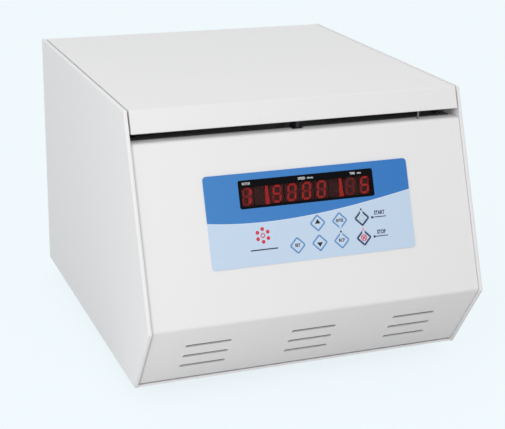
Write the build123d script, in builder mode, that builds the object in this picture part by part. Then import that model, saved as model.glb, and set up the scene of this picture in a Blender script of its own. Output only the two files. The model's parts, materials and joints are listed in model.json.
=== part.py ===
from build123d import *
import os
from math import atan2, cos, pi, radians, sin, sqrt, tan

# Benchtop centrifuge with a front-opening lid and an angle rotor.
# Millimetres. +X is to the right seen from the front, +Y to the back, +Z up.
# The origin is on the floor under the middle of the housing.

os.makedirs("parts", exist_ok=True)

# Housing
body_width = 300.0
body_depth = 370.0
body_height = 232.0
foot_height = 14.0
top_setback = 64.0
bend_height = 66.0
bottom_setback = 44.0
side_sheet = 3.0
panel_sheet = 1.5
panel_recess = 2.0
base_sheet = 2.0
base_seam = 1.3
bend_radius = 2.0
panel_bend_radius = 4.0
panel_side_gap = 0.4
edge_round = 1.4
fold_depth = 12.0
base_flange = 15.0
deck_flange = 12.0
pan_vent_inset = 32.0
pan_vent_length = 34.0
pan_vent_width = 3.0
pan_vent_pitch = 8.0
pan_vent_count = 11
rear_recess = 5.0

# Lid
lid_lip = 19.5
lid_side_gap = 1.4
lid_rear_gap = 1.5
lid_sheet = 1.5
lid_hem = 9.0
lip_edge_radius = 0.9
panel_top_slope = 27.0
liner_sheet = 2.0
liner_gap = 0.5
liner_front_gap = 3.0
liner_hinge_gap = 23.0
liner_corner = 6.0
liner_dish_gap = 20.0
liner_dish_depth = 7.0

# Lid hinges
hinge_inset = 12.0
hinge_drop = 10.0
hinge_spread = 200.0
hinge_pin_radius = 3.0
hinge_ear_radius = 5.5
hinge_ear = 3.0
hinge_knuckle = 18.0
hinge_plate = 2.0
hinge_side_gap = 0.3
pin_clearance = 0.05
hinge_base_front = 14.0
hinge_base_back = 6.0
hinge_arm_length = 54.0
hinge_arm_width = 26.0
hinge_arm_sheet = 3.0
notch_clearance = 2.5

# Chamber
chamber_front_gap = 7.5
chamber_rear_gap = 12.0
chamber_screw_gap = 4.0
bowl_sheet = 1.5
bowl_motor_gap = 9.0
bowl_corner = 14.0
bowl_rim = 10.0
bowl_rim_radius = 3.0
bowl_hole_gap = 4.0
bowl_fit = 1.5
gasket_inset = 3.0
gasket_edge = 0.5
gasket_gap = 0.3
gasket_foot = 3.0
gasket_waist = 1.2
gasket_lip = 1.5
gasket_root = 3.5
guard_gap = 4.0
guard_wall = 4.0
guard_rise = 4.0

# Rotor
rotor_floor_gap = 8.0
rotor_height = 78.0
rotor_swing_gap = 14.0
rotor_top_radius = 60.0
rotor_edge = 14.0
rotor_edge_radius = 5.0
rotor_chamfer = 8.0
tube_count = 6
tube_radius = 14.75
tube_circle = 40.0
tube_angle = 30.0
tube_wall = 14.25
nut_recess_radius = 19.0
nut_recess_depth = 14.0
nut_recess_taper = 1.0
rotor_hollow_inner = 26.0
rotor_hollow_outer = 47.0
rotor_hollow_depth = 22.0
hollow_inner_taper = 3.0
hollow_outer_taper = 6.0
nut_radius = 15.0
nut_height = 28.0
nut_flange = 1.0
nut_flange_height = 4.0
nut_flutes = 12
nut_flute_radius = 2.2
nut_flute_offset = 0.8

# Drive
shaft_radius = 8.5
shaft_top_radius = 6.0
shaft_shoulder = 10.0
shaft_end_gap = 0.5
shaft_collar = 1.0
shaft_collar_width = 3.0
shaft_thread = 17.0
shaft_chamfer = 1.0
running_clearance = 0.05
motor_radius = 60.0
motor_height = 52.0
motor_wall = 5.0
neck_radius = 20.0
neck_top_gap = 3.0
motor_edge = 1.5
motor_shoulder = 4.0
neck_root = 2.0
bearing_wall = 2.5
bearing_width = 11.0
armature_radius = 31.0
air_gap = 1.0
stator_end_gap = 7.0
stator_bearing_gap = 1.0
motor_plate_sheet = 3.0
motor_plate_edge = 2.0
damper_spacing = 140.0
damper_radius = 12.0
damper_waist = 9.0
damper_height = 18.0
damper_flange = 2.0
motor_screw_circle = 104.0
boot_wall = 2.0
boot_height = 4.0
boot_lip = 4.0

# Front controls, given down the slope from the top front edge
overlay_width = 182.0
overlay_height = 76.0
overlay_middle = 95.65
overlay_sheet = 0.8
overlay_corner = 3.0
window_width = 120.0
window_height = 23.0
window_middle = 75.1
window_across = -1.5
window_clearance = 0.2
window_corner = 1.8
digit_count = 9
digit_pitch = 13.35
digit_middle = -1.4
digit_row = 76.8
digit_width = 12.6
digit_height = 19.0
digit_depth = 8.0
digit_gap = 0.3
key_diagonal = 14.1
key_corner = 1.4
key_clearance = 0.25
key_columns = (-15.65, 4.15, 24.0, 44.35)
key_rows = (104.35, 120.85)
key_hole_clearance = 0.4
key_stem_radius = 2.5
key_travel = 0.5
switch_size = 6.0
switch_height = 4.3
switch_tip = 1.0
switch_tip_radius = 1.7
board_width = 172.0
board_height = 70.0
board_middle = 94.0
board_sheet = 1.6
standoff_radius = 3.0
standoff_hole = 1.5
standoff_inset = 6.0

# Vents in the chamfer, given down it from the bend
vent_rows = (26.2, 41.2, 56.1)
vent_length = 40.2
vent_width = 3.4
vent_spread = 93.3
vent_across = -0.9

# Lid lock
lock_setback = 9.0
lock_gap = 20.0
lock_sheet = 1.5
lock_left = -14.0
lock_right = 70.0
lock_cheek_drop = 88.0
lock_corner_run = 14.0
lock_corner_rise = 24.0
lock_flange = 1.5
pivot_x = 18.0
pivot_drop = 60.0
lock_pin_radius = 2.5
hook_hub_radius = 4.5
hook_thickness = 6.0
hook_reach = 24.0
hook_nose = 4.0
hook_nose_slope = 3.0
hook_nose_tip = 4.0
hook_lever = 10.0
hook_lobe = 2.5
hook_arm = 2.4
striker_sheet = 3.0
striker_slot = 11.0
striker_width = 14.0
striker_foot = 24.0
striker_foot_sheet = 2.0
striker_drop = 50.5
striker_window_drop = 5.6
striker_window_height = 9.6
striker_window_width = 9.0
striker_gap = 1.5
solenoid_length = 34.0
solenoid_inset = 2.0
solenoid_corner = 2.0
solenoid_end = 4.0
plunger_radius = 4.5
plunger_clearance = 0.08
plunger_tip = 3.0
plunger_length = 42.0
plunger_slot = 6.0
plunger_slot_floor = 0.6

# Lid switch
lid_switch_inset = 36.0
lid_switch_lead = 0.5
lid_switch_gap = 0.3
lid_pin_radius = 0.9
lid_pin_travel = 2.5
lid_pin_spare = 0.5
pin_hole_gap = 0.4
lid_switch_height = 20.0
lid_switch_width = 20.0
lid_switch_depth = 8.0

# Rear wall
fan_inset = 59.0
fan_rise = 82.0
fan_size = 80.0
fan_corner = 5.0
fan_depth = 25.0
fan_wall = 2.5
fan_spoke = 3.0
fan_spoke_width = 4.0
fan_post = 12.0
fan_hub = 17.0
fan_hub_step = 0.5
fan_hub_wall = 3.0
fan_front_gap = 3.0
fan_rear_gap = 4.0
fan_blades = 7
fan_tip_gap = 1.0
blade_lead = 1.0
blade_sink = 2.0
blade_root_chord = 18.0
blade_root_sheet = 1.8
blade_root_pitch = 50.0
blade_tip_chord = 20.0
blade_tip_sheet = 1.2
blade_tip_pitch = 30.0
fan_shaft_radius = 1.5
grille_slot = 3.4
grille_pitch = 7.0
grille_rows = 9
electrics_rise = 46.0
inlet_inset = 41.0
inlet_flange_width = 50.0
inlet_flange_height = 24.0
inlet_body_width = 28.0
inlet_body_height = 20.0
inlet_body_depth = 22.0
inlet_corner = 4.0
inlet_wall_side = 2.0
inlet_wall_end = 1.75
inlet_floor = 6.0
inlet_pin_spread = 7.0
inlet_pin_rise = 3.5
inlet_pin_sheet = 2.0
inlet_pin_width = 4.0
inlet_pin_recess = 4.0
rear_flange = 1.5
rear_corner = 2.0
rocker_pitch = 48.0
rocker_rim = 1.5
rocker_wall_side = 2.0
rocker_wall_end = 3.0
rocker_body_depth = 18.0
rocker_floor = 3.0
rocker_width = 14.0
rocker_height = 21.0
rocker_pivot_depth = 4.0
rocker_throw = 10.0
rocker_side_gap = 0.4
rocker_end_gap = 1.2
rocker_stand = 1.6
rocker_dip = 1.4
rocker_root = 3.0
rocker_root_half = 4.0
rocker_edge = 1.0
fuse_pitch = 32.0
fuse_cap_radius = 7.5
fuse_body_radius = 6.0
fuse_body_depth = 30.0
fuse_cap_height = 4.0
fuse_slot = 1.6
fuse_slot_depth = 1.5

# Electronics on the floor
board_side_gap = 6.5
board_motor_gap = 3.0
main_board_length = 150.0
main_board_lead = 17.0
main_board_lift = 10.0
capacitor_radius = 11.0
capacitor_height = 34.0
capacitor_spacing = 28.0
heat_sink_margin = 6.0
heat_sink_base = 4.0
heat_sink_length = 50.0
heat_sink_height = 30.0
heat_sink_fins = 7
heat_sink_fin = 2.0

# Feet
foot_radius = 15.0
foot_inset_x = 30.0
foot_front = 58.0
foot_back = 35.0
foot_chamfer = 2.0
foot_taper = 1.0
foot_screw_depth = 3.0
foot_screw_tail = 3.0
foot_head_clearance = 0.4
screw_clearance = 0.2
screw_radius = 2.0
screw_head_radius = 3.8
screw_head = 2.2
sheet_screw_radius = 3.2
sheet_screw_head = 1.4
sheet_screw_inset = 8.0
rear_screw_top = 12.0
deck_screw_back = 10.0
inlet_screw_inset = 5.0
fan_screw_inset = 4.5

# Places worked out from the sizes
half_width = body_width / 2
inner_half = half_width - side_sheet
front_y = -body_depth / 2
back_y = body_depth / 2
base_z = foot_height
floor_z = base_z + base_sheet
bend_z = base_z + bend_height
top_z = base_z + body_height
slope_turn = atan2(top_setback, body_height - bend_height)
chamfer_turn = atan2(bottom_setback, bend_height)
rear_y = back_y - rear_recess
rear_inner_y = rear_y - panel_sheet
lid_half = inner_half - lid_side_gap
lid_back_y = back_y - lid_rear_gap
hinge_z = top_z - hinge_drop
hinge_y = back_y - hinge_inset
liner_rear_y = hinge_y - liner_hinge_gap
lock_y = front_y + top_setback + lock_setback
lid_switch_x = inner_half - lid_switch_inset
lid_switch_y = front_y + top_setback - lid_switch_lead
pivot_z = top_z - pivot_drop
striker_bottom = top_z - striker_drop

# The chamber fits between the lock and the hinges, and between the deck's screws
chamber_front_y = lock_y + lock_gap / 2 + lock_sheet + chamber_front_gap
chamber_back_y = hinge_y - hinge_base_front - chamber_rear_gap
chamber_y = (chamber_front_y + chamber_back_y) / 2
deck_screw_x = inner_half - sheet_screw_inset
depth_room = (chamber_back_y - chamber_front_y) / 2 - guard_wall
width_room = deck_screw_x - sheet_screw_radius - chamber_screw_gap - bowl_rim + guard_gap
guard_inner = min(depth_room, width_room)
bowl_radius = guard_inner - guard_gap
gasket_inner = bowl_radius + gasket_inset
gasket_outer = bowl_radius + bowl_rim - gasket_edge
liner_dish_radius = bowl_radius - liner_dish_gap
rotor_radius = bowl_radius - rotor_swing_gap
tube_straight = (rotor_radius - tube_wall - tube_radius - tube_circle) / sin(radians(tube_angle))

# The drive stands on the floor and carries bowl and rotor
plate_z = floor_z + damper_height
motor_z = plate_z + motor_plate_sheet
motor_top_z = motor_z + motor_height
bowl_floor_z = motor_top_z + bowl_motor_gap
guard_bottom_z = bowl_floor_z + guard_rise
rotor_bottom_z = bowl_floor_z + rotor_floor_gap
rotor_top_z = rotor_bottom_z + rotor_height
neck_top_z = rotor_bottom_z - neck_top_gap
bowl_hole_radius = neck_radius + bowl_hole_gap
bearing_radius = neck_radius - bearing_wall
stator_inner = armature_radius + air_gap
motor_plate_size = damper_spacing + 2 * (damper_radius + motor_plate_edge)

# Rear wall and main board
fan_x = inner_half - fan_inset
fan_z = base_z + fan_rise
fan_bore = fan_size / 2 - fan_wall
inlet_x = inlet_inset - inner_half
rocker_x = inlet_x + rocker_pitch
fuse_x = rocker_x + fuse_pitch
electrics_z = base_z + electrics_rise
inlet_socket_width = inlet_body_width - 2 * inlet_wall_side
inlet_socket_height = inlet_body_height - 2 * inlet_wall_end
inlet_socket_depth = inlet_body_depth - inlet_floor
rocker_body_width = rocker_width + 2 * rocker_wall_side
rocker_body_height = rocker_height + 2 * rocker_wall_end
board_left = base_sheet + board_side_gap - inner_half
board_right = -motor_plate_size / 2 - board_motor_gap
main_board_width = board_right - board_left
main_board_x = (board_left + board_right) / 2
main_board_y = chamber_y - main_board_lead
heat_sink_width = main_board_width - 2 * heat_sink_margin


def slope_point(down, depth):
    """Point (y, z) on the slope, measured down from its top edge and inwards."""
    y = front_y + top_setback - down * sin(slope_turn) + depth * cos(slope_turn)
    z = top_z - down * cos(slope_turn) - depth * sin(slope_turn)
    return (y, z)


def chamfer_y(height, depth):
    """Y of the chamfer at a height, moved inwards by depth."""
    return front_y + (bend_z - height + depth / sin(chamfer_turn)) * bottom_setback / bend_height


def bend_point(depth):
    """Corner (y, z) where slope and chamfer meet, both moved inwards by depth."""
    normal_y = cos(slope_turn) + cos(chamfer_turn)
    normal_z = sin(chamfer_turn) - sin(slope_turn)
    share = depth / (1 + cos(slope_turn + chamfer_turn))
    return (front_y + share * normal_y, bend_z + share * normal_z)


def finish(builder, label):
    """Label a piece and write it."""
    builder.part.label = label
    export_step(builder.part, f"parts/{label}.step")
    print(label, round(builder.part.volume), builder.part.is_valid)


# The control panel's outer face: local X is to the right, local Y is up the slope
panel_plane = Plane(
    origin=(0, *slope_point(0, panel_recess)),
    x_dir=(1, 0, 0),
    z_dir=(0, -cos(slope_turn), sin(slope_turn)),
)
chamfer_plane = Plane(
    origin=(0, *bend_point(panel_recess)),
    x_dir=(1, 0, 0),
    z_dir=(0, -cos(chamfer_turn), -sin(chamfer_turn)),
)
chamber_plane = Plane(origin=(0, chamber_y, 0), x_dir=(1, 0, 0), z_dir=(0, -1, 0))
chamber_axis = Axis((0, chamber_y, 0), (0, 0, 1))

panel_top_y, panel_top_z = slope_point(panel_top_slope, panel_recess)
deck_z = panel_top_z - panel_sheet
deck_under_z = deck_z - panel_sheet
lid_bottom_z = slope_point(lid_lip, 0)[1]
liner_z = lid_bottom_z + lid_sheet

key_places = {
    "key_set": (key_columns[0], key_rows[1]),
    "key_up": (key_columns[1], key_rows[0]),
    "key_down": (key_columns[1], key_rows[1]),
    "key_enter": (key_columns[2], key_rows[0]),
    "key_mode": (key_columns[2], key_rows[1]),
    "key_start": (key_columns[3], key_rows[0]),
    "key_stop": (key_columns[3], key_rows[1]),
}
key_points = [(x, -down) for x, down in key_places.values()]
key_side = key_diagonal / sqrt(2)
key_hole_radius = key_diagonal / 2 + key_hole_clearance

foot_points = [
    (side * (half_width - foot_inset_x), y)
    for side in (-1, 1)
    for y in (front_y + bottom_setback + foot_front, rear_y - foot_back)
]

# Side panels: bent sheet outline, front edge in two straight lines
side_outline = [
    (front_y + top_setback, top_z),
    (back_y, top_z),
    (back_y, base_z),
    (front_y + bottom_setback, base_z),
    (front_y, bend_z),
]
for side, label in ((-1, "side_panel_left"), (1, "side_panel_right")):
    with BuildPart() as side_panel:
        with BuildSketch(Plane.YZ.offset(side * half_width)) as side_face:
            with BuildLine():
                Polyline(*side_outline, close=True)
            make_face()
        extrude(amount=-side * side_sheet)
        outer_face = side_panel.faces().filter_by(Axis.X).sort_by(Axis.X)[0 if side < 0 else -1]
        fillet(outer_face.edges(), edge_round)
    finish(side_panel, label)

# Base pan: floor whose front edge shows under the seam, with three upturned flanges
pan_front_y = chamfer_y(floor_z, panel_recess)
with BuildPart() as base_pan:
    with BuildSketch(Plane.YZ) as pan_profile:
        with BuildLine():
            Polyline(
                (pan_front_y, base_z),
                (pan_front_y, floor_z),
                (rear_inner_y - base_sheet, floor_z),
                (rear_inner_y - base_sheet, floor_z + base_flange),
                (rear_inner_y, floor_z + base_flange),
                (rear_inner_y, base_z),
                close=True,
            )
        make_face()
    extrude(amount=inner_half, both=True)
    flange_start = chamfer_y(base_z, panel_recess) + fold_depth + base_sheet
    with BuildSketch(Plane.XY.offset(floor_z)) as pan_flanges:
        for side in (-1, 1):
            with Locations((side * (inner_half - base_sheet / 2), (flange_start + rear_inner_y) / 2)):
                Rectangle(base_sheet, rear_inner_y - flange_start)
    extrude(amount=base_flange)
    with Locations(*[(x, y, floor_z) for x, y in foot_points]):
        Hole(screw_radius + screw_clearance, depth=base_sheet)
    with BuildSketch(Plane.XY.offset(base_z)) as pan_vents:
        for side in (-1, 1):
            with Locations((side * (inner_half - pan_vent_inset), chamber_y)):
                with GridLocations(0, pan_vent_pitch, 1, pan_vent_count):
                    SlotOverall(pan_vent_length, pan_vent_width)
    extrude(amount=base_sheet, mode=Mode.SUBTRACT)
finish(base_pan, "base_pan")

# Front panel: one sheet folded back at the top, bent at the nose and folded in at the bottom
panel_half = inner_half - panel_side_gap
panel_bottom_z = floor_z + base_seam
window_cut_width = window_width + 2 * window_clearance
window_cut_height = window_height + 2 * window_clearance
panel_bottom_y = chamfer_y(panel_bottom_z, panel_recess)
with BuildPart() as front_panel:
    with BuildSketch(Plane.YZ) as panel_profile:
        with BuildLine():
            FilletPolyline(
                (panel_top_y + fold_depth, panel_top_z),
                (panel_top_y, panel_top_z),
                bend_point(panel_recess),
                (panel_bottom_y, panel_bottom_z),
                (panel_bottom_y + fold_depth, panel_bottom_z),
                radius=[panel_bend_radius, panel_bend_radius, bend_radius],
            )
            offset(amount=panel_sheet, side=Side.LEFT)
        make_face()
    extrude(amount=panel_half, both=True)
    inner_bend = bend_point(panel_recess + fold_depth)
    outer_bend = bend_point(panel_recess + panel_sheet)
    for side in (-1, 1):
        with BuildSketch(Plane.YZ.offset(side * panel_half)) as panel_return:
            with BuildLine():
                Polyline(
                    (panel_top_y + fold_depth, deck_under_z),
                    (panel_top_y + panel_sheet, deck_under_z),
                    outer_bend,
                    (panel_bottom_y + panel_sheet, panel_bottom_z + panel_sheet),
                    (panel_bottom_y + fold_depth, panel_bottom_z + panel_sheet),
                    inner_bend,
                    close=True,
                )
            make_face()
        extrude(amount=-side * panel_sheet)
    with BuildSketch(panel_plane) as panel_holes:
        with Locations((window_across, -window_middle)):
            RectangleRounded(window_cut_width, window_cut_height, window_corner)
        with Locations(*key_points):
            Circle(key_hole_radius)
    extrude(amount=-2 * panel_sheet, mode=Mode.SUBTRACT)
    with BuildSketch(chamfer_plane) as vent_slots:
        for row in vent_rows:
            with Locations((vent_across, -row)):
                with GridLocations(vent_spread, 0, 3, 1):
                    SlotOverall(vent_length, vent_width)
    extrude(amount=-2 * panel_sheet, mode=Mode.SUBTRACT)
    with BuildSketch(Plane.XY.offset(panel_top_z)) as fold_holes:
        with Locations((lid_switch_x, lid_switch_y)):
            Circle(lid_pin_radius + pin_hole_gap)
        with Locations((0, lock_y)):
            Rectangle(striker_slot, lock_gap)
    extrude(amount=-panel_sheet, mode=Mode.SUBTRACT)
finish(front_panel, "front_panel")

# Rear panel: folded forward at the top and the sides, with the openings of the electrics
rear_plane = Plane(origin=(0, rear_y, 0), x_dir=(1, 0, 0), z_dir=(0, -1, 0))
with BuildPart() as rear_panel:
    with BuildSketch(rear_plane) as rear_sheet:
        with Locations((0, (base_z + deck_under_z) / 2)):
            Rectangle(2 * inner_half, deck_under_z - base_z)
    extrude(amount=panel_sheet)
    with BuildSketch(Plane.XY.offset(deck_under_z)) as rear_fold:
        with Locations((0, rear_y - fold_depth / 2)):
            Rectangle(2 * inner_half, fold_depth)
    extrude(amount=-panel_sheet)
    side_fold_bottom = floor_z + base_flange
    for side in (-1, 1):
        with BuildSketch(Plane.YZ.offset(side * inner_half)) as rear_side_fold:
            with Locations((rear_y - fold_depth / 2, (side_fold_bottom + deck_under_z) / 2)):
                Rectangle(fold_depth, deck_under_z - side_fold_bottom)
        extrude(amount=-side * panel_sheet)
    with BuildSketch(rear_plane) as rear_holes:
        for row in range(grille_rows):
            rise = (row - (grille_rows - 1) / 2) * grille_pitch
            chord = 2 * sqrt((fan_bore - grille_slot / 2) ** 2 - rise**2)
            with Locations((fan_x, fan_z + rise)):
                SlotOverall(chord, grille_slot)
        with Locations((inlet_x, electrics_z)):
            Rectangle(inlet_body_width, inlet_body_height)
        with Locations((rocker_x, electrics_z)):
            Rectangle(rocker_body_width, rocker_body_height)
        with Locations((fuse_x, electrics_z)):
            Circle(fuse_body_radius)
    extrude(amount=panel_sheet, mode=Mode.SUBTRACT)
finish(rear_panel, "rear_panel")

# Deck plate: closes the body under the lid, with the round mouth of the chamber
top_fold_turn = pi / 2 + slope_turn
inner_bend_run = (panel_bend_radius - panel_sheet) * tan(top_fold_turn / 2)
deck_front_y = panel_top_y + panel_sheet + inner_bend_run
hinge_places = [(side * hinge_spread / 2, hinge_y) for side in (-1, 1)]
with BuildPart() as deck_plate:
    with BuildSketch(Plane.XY.offset(deck_under_z)) as deck_face:
        with Locations((0, (deck_front_y + rear_y) / 2)):
            Rectangle(2 * inner_half, rear_y - deck_front_y)
        with Locations((0, chamber_y)):
            Circle(bowl_radius + bowl_sheet + bowl_fit, mode=Mode.SUBTRACT)
        with Locations((0, lock_y)):
            Rectangle(striker_slot, lock_gap, mode=Mode.SUBTRACT)
        with Locations((lid_switch_x, lid_switch_y)):
            Circle(lid_pin_radius + pin_hole_gap, mode=Mode.SUBTRACT)
    extrude(amount=panel_sheet)
    flange_from = deck_front_y + fold_depth + panel_sheet
    flange_to = rear_y - fold_depth
    with BuildSketch(Plane.XY.offset(deck_under_z)) as deck_flanges:
        for side in (-1, 1):
            with Locations((side * (inner_half - panel_sheet / 2), (flange_from + flange_to) / 2)):
                Rectangle(panel_sheet, flange_to - flange_from)
    extrude(amount=-deck_flange)
finish(deck_plate, "deck_plate")

# Chamber bowl: pressed steel with a rolled corner, its rim lying on the deck
with BuildPart() as chamber_bowl:
    with BuildSketch(chamber_plane) as bowl_profile:
        with BuildLine():
            FilletPolyline(
                (bowl_radius + bowl_rim, deck_z + bowl_sheet),
                (bowl_radius, deck_z + bowl_sheet),
                (bowl_radius, bowl_floor_z),
                (bowl_hole_radius, bowl_floor_z),
                radius=[bowl_rim_radius, bowl_corner],
            )
            offset(amount=bowl_sheet, side=Side.LEFT)
        make_face()
    revolve(axis=chamber_axis)
finish(chamber_bowl, "chamber_bowl")

# Guard ring: the steel belt round the bowl that hangs from the deck
with BuildPart() as guard_ring:
    with BuildSketch(Plane.XY.offset(guard_bottom_z)) as guard_face:
        with Locations((0, chamber_y)):
            Circle(guard_inner + guard_wall)
            Circle(guard_inner, mode=Mode.SUBTRACT)
    extrude(amount=deck_under_z - guard_bottom_z)
finish(guard_ring, "guard_ring")

# Chamber gasket: rubber lip ring standing on the bowl's rim
gasket_bottom = deck_z + bowl_sheet
gasket_top = liner_z - gasket_gap
with BuildPart() as chamber_gasket:
    with BuildSketch(chamber_plane) as gasket_profile:
        with BuildLine():
            Polyline(
                (gasket_inner, gasket_bottom),
                (gasket_inner + gasket_waist, gasket_bottom + gasket_foot),
                (gasket_inner, gasket_top - gasket_lip),
                (gasket_inner + gasket_lip, gasket_top),
                (gasket_inner + gasket_root, gasket_bottom + gasket_root),
                (gasket_outer, gasket_bottom + gasket_foot),
                (gasket_outer, gasket_bottom),
                close=True,
            )
        make_face()
    revolve(axis=chamber_axis)
finish(chamber_gasket, "chamber_gasket")

# Lid cover: one sheet bent down on four sides, hemmed at the front, notched for the hinges
with BuildPart() as lid_cover:
    with BuildSketch(Plane.YZ) as lid_profile:
        with BuildLine():
            FilletPolyline(
                (slope_point(lid_lip, 0)[0] + lid_hem, lid_bottom_z),
                slope_point(lid_lip, 0),
                slope_point(0, 0),
                (lid_back_y, top_z),
                (lid_back_y, lid_bottom_z),
                radius=[lip_edge_radius, bend_radius, bend_radius],
            )
            offset(amount=lid_sheet, side=Side.RIGHT)
        make_face()
    extrude(amount=lid_half, both=True)
    for side in (-1, 1):
        with BuildSketch(Plane.YZ.offset(side * lid_half)) as lid_side:
            with BuildLine():
                Polyline(
                    slope_point(lid_lip - lid_sheet / 2, lid_sheet / 2),
                    slope_point(lid_sheet / 2, lid_sheet / 2),
                    (lid_back_y - lid_sheet / 2, top_z - lid_sheet / 2),
                    (lid_back_y - lid_sheet / 2, lid_bottom_z),
                    (slope_point(lid_lip, 0)[0] + lid_hem, lid_bottom_z),
                    (slope_point(lid_lip, 0)[0] + lid_hem, lid_bottom_z + lid_sheet / 2),
                    close=True,
                )
            make_face()
        extrude(amount=-side * lid_sheet)
    notch_width = hinge_knuckle + 2 * (hinge_side_gap + hinge_ear + notch_clearance)
    with BuildSketch(Plane.XY.offset(lid_bottom_z)) as lid_notches:
        with Locations(*[(x, lid_back_y) for x, y in hinge_places]):
            Rectangle(notch_width, 4 * lid_sheet)
    extrude(amount=top_z - lid_sheet - lid_bottom_z, mode=Mode.SUBTRACT)
finish(lid_cover, "lid_cover")

# Lid liner: moulded plate that closes the lid, with a dish over the rotor
liner_front_y = slope_point(lid_lip, lid_sheet)[0] + liner_front_gap
with BuildPart() as lid_liner:
    with BuildSketch(Plane.XY.offset(liner_z)) as liner_face:
        with Locations((0, (liner_front_y + liner_rear_y) / 2)):
            RectangleRounded(
                2 * (lid_half - lid_sheet - liner_gap), liner_rear_y - liner_front_y, liner_corner
            )
    extrude(amount=liner_sheet)
    with BuildSketch(chamber_plane) as liner_dish:
        with BuildLine():
            Polyline(
                (0, liner_z),
                (liner_dish_radius, liner_z),
                (liner_dish_radius - liner_dish_depth, liner_z + liner_dish_depth + liner_sheet),
                (0, liner_z + liner_dish_depth + liner_sheet),
                close=True,
            )
        make_face()
    revolve(axis=chamber_axis)
    with BuildSketch(chamber_plane) as liner_hollow:
        with BuildLine():
            Polyline(
                (0, liner_z),
                (liner_dish_radius - liner_sheet, liner_z),
                (liner_dish_radius - liner_sheet - liner_dish_depth, liner_z + liner_dish_depth),
                (0, liner_z + liner_dish_depth),
                close=True,
            )
        make_face()
    revolve(axis=chamber_axis, mode=Mode.SUBTRACT)
finish(lid_liner, "lid_liner")

# Lid striker: plate under the liner with the window that the hook enters
with BuildPart() as lid_striker:
    with BuildSketch(Plane.YZ) as striker_profile:
        with Locations((lock_y, (striker_bottom + liner_z) / 2)):
            Rectangle(striker_width, liner_z - striker_bottom)
        window_z = pivot_z + hook_reach - striker_window_drop
        with Locations((lock_y, window_z)):
            Rectangle(striker_window_width, striker_window_height, mode=Mode.SUBTRACT)
    extrude(amount=striker_sheet / 2, both=True)
    with BuildSketch(Plane.XY.offset(liner_z - striker_foot_sheet)) as striker_base:
        with Locations((0, lock_y)):
            Rectangle(striker_foot, striker_width)
    extrude(amount=striker_foot_sheet)
finish(lid_striker, "lid_striker")

# Hinge brackets: a plate on the deck with two round-topped ears for each pin
with BuildPart() as hinge_brackets:
    for x, y in hinge_places:
        for side in (-1, 1):
            ear_x = x + side * (hinge_knuckle / 2 + hinge_side_gap)
            with BuildSketch(Plane.YZ.offset(ear_x)) as ear_face:
                with Locations((hinge_y, hinge_z)):
                    Circle(hinge_ear_radius)
                with BuildLine():
                    Polyline(
                        (hinge_y - hinge_ear_radius, hinge_z),
                        (hinge_y + hinge_ear_radius, hinge_z),
                        (hinge_y + hinge_base_back, deck_z),
                        (hinge_y - hinge_base_front, deck_z),
                        close=True,
                    )
                make_face()
                with Locations((hinge_y, hinge_z)):
                    Circle(hinge_pin_radius, mode=Mode.SUBTRACT)
            extrude(amount=side * hinge_ear)
        bracket_width = hinge_knuckle + 2 * (hinge_side_gap + hinge_ear)
        with BuildSketch(Plane.XY.offset(deck_z)) as bracket_base:
            with Locations((x, hinge_y + (hinge_base_back - hinge_base_front) / 2)):
                Rectangle(bracket_width, hinge_base_front + hinge_base_back)
        extrude(amount=hinge_plate)
finish(hinge_brackets, "hinge_brackets")

# Hinge pins: held in the ears
with BuildPart() as hinge_pins:
    for x, y in hinge_places:
        pin_half = hinge_knuckle / 2 + hinge_side_gap + hinge_ear
        with BuildSketch(Plane.YZ.offset(x)) as pin_face:
            with Locations((hinge_y, hinge_z)):
                Circle(hinge_pin_radius)
        extrude(amount=pin_half, both=True)
finish(hinge_pins, "hinge_pins")

# Hinge arms: knuckle round the pin, web, and a plate under the lid
arm_top_z = top_z - lid_sheet
with BuildPart() as hinge_arms:
    for x, y in hinge_places:
        with BuildSketch(Plane.YZ.offset(x)) as arm_profile:
            with Locations((hinge_y, hinge_z)):
                Circle(hinge_ear_radius)
            with BuildLine():
                Polyline(
                    (hinge_y - hinge_arm_length, arm_top_z),
                    (hinge_y - hinge_ear_radius, arm_top_z),
                    (hinge_y, hinge_z + hinge_ear_radius),
                    (hinge_y, hinge_z - hinge_ear_radius),
                    (hinge_y - 3 * hinge_ear_radius, arm_top_z - hinge_arm_sheet),
                    (hinge_y - hinge_arm_length, arm_top_z - hinge_arm_sheet),
                    close=True,
                )
            make_face()
            with Locations((hinge_y, hinge_z)):
                Circle(hinge_pin_radius + pin_clearance, mode=Mode.SUBTRACT)
        extrude(amount=hinge_knuckle / 2, both=True)
        with BuildSketch(Plane.XY.offset(arm_top_z)) as arm_plate:
            with Locations((x, hinge_y - (hinge_arm_length + 3 * hinge_ear_radius) / 2)):
                RectangleRounded(
                    hinge_arm_width, hinge_arm_length - 3 * hinge_ear_radius, hinge_arm_sheet
                )
        extrude(amount=-hinge_arm_sheet)
finish(hinge_arms, "hinge_arms")

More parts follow.
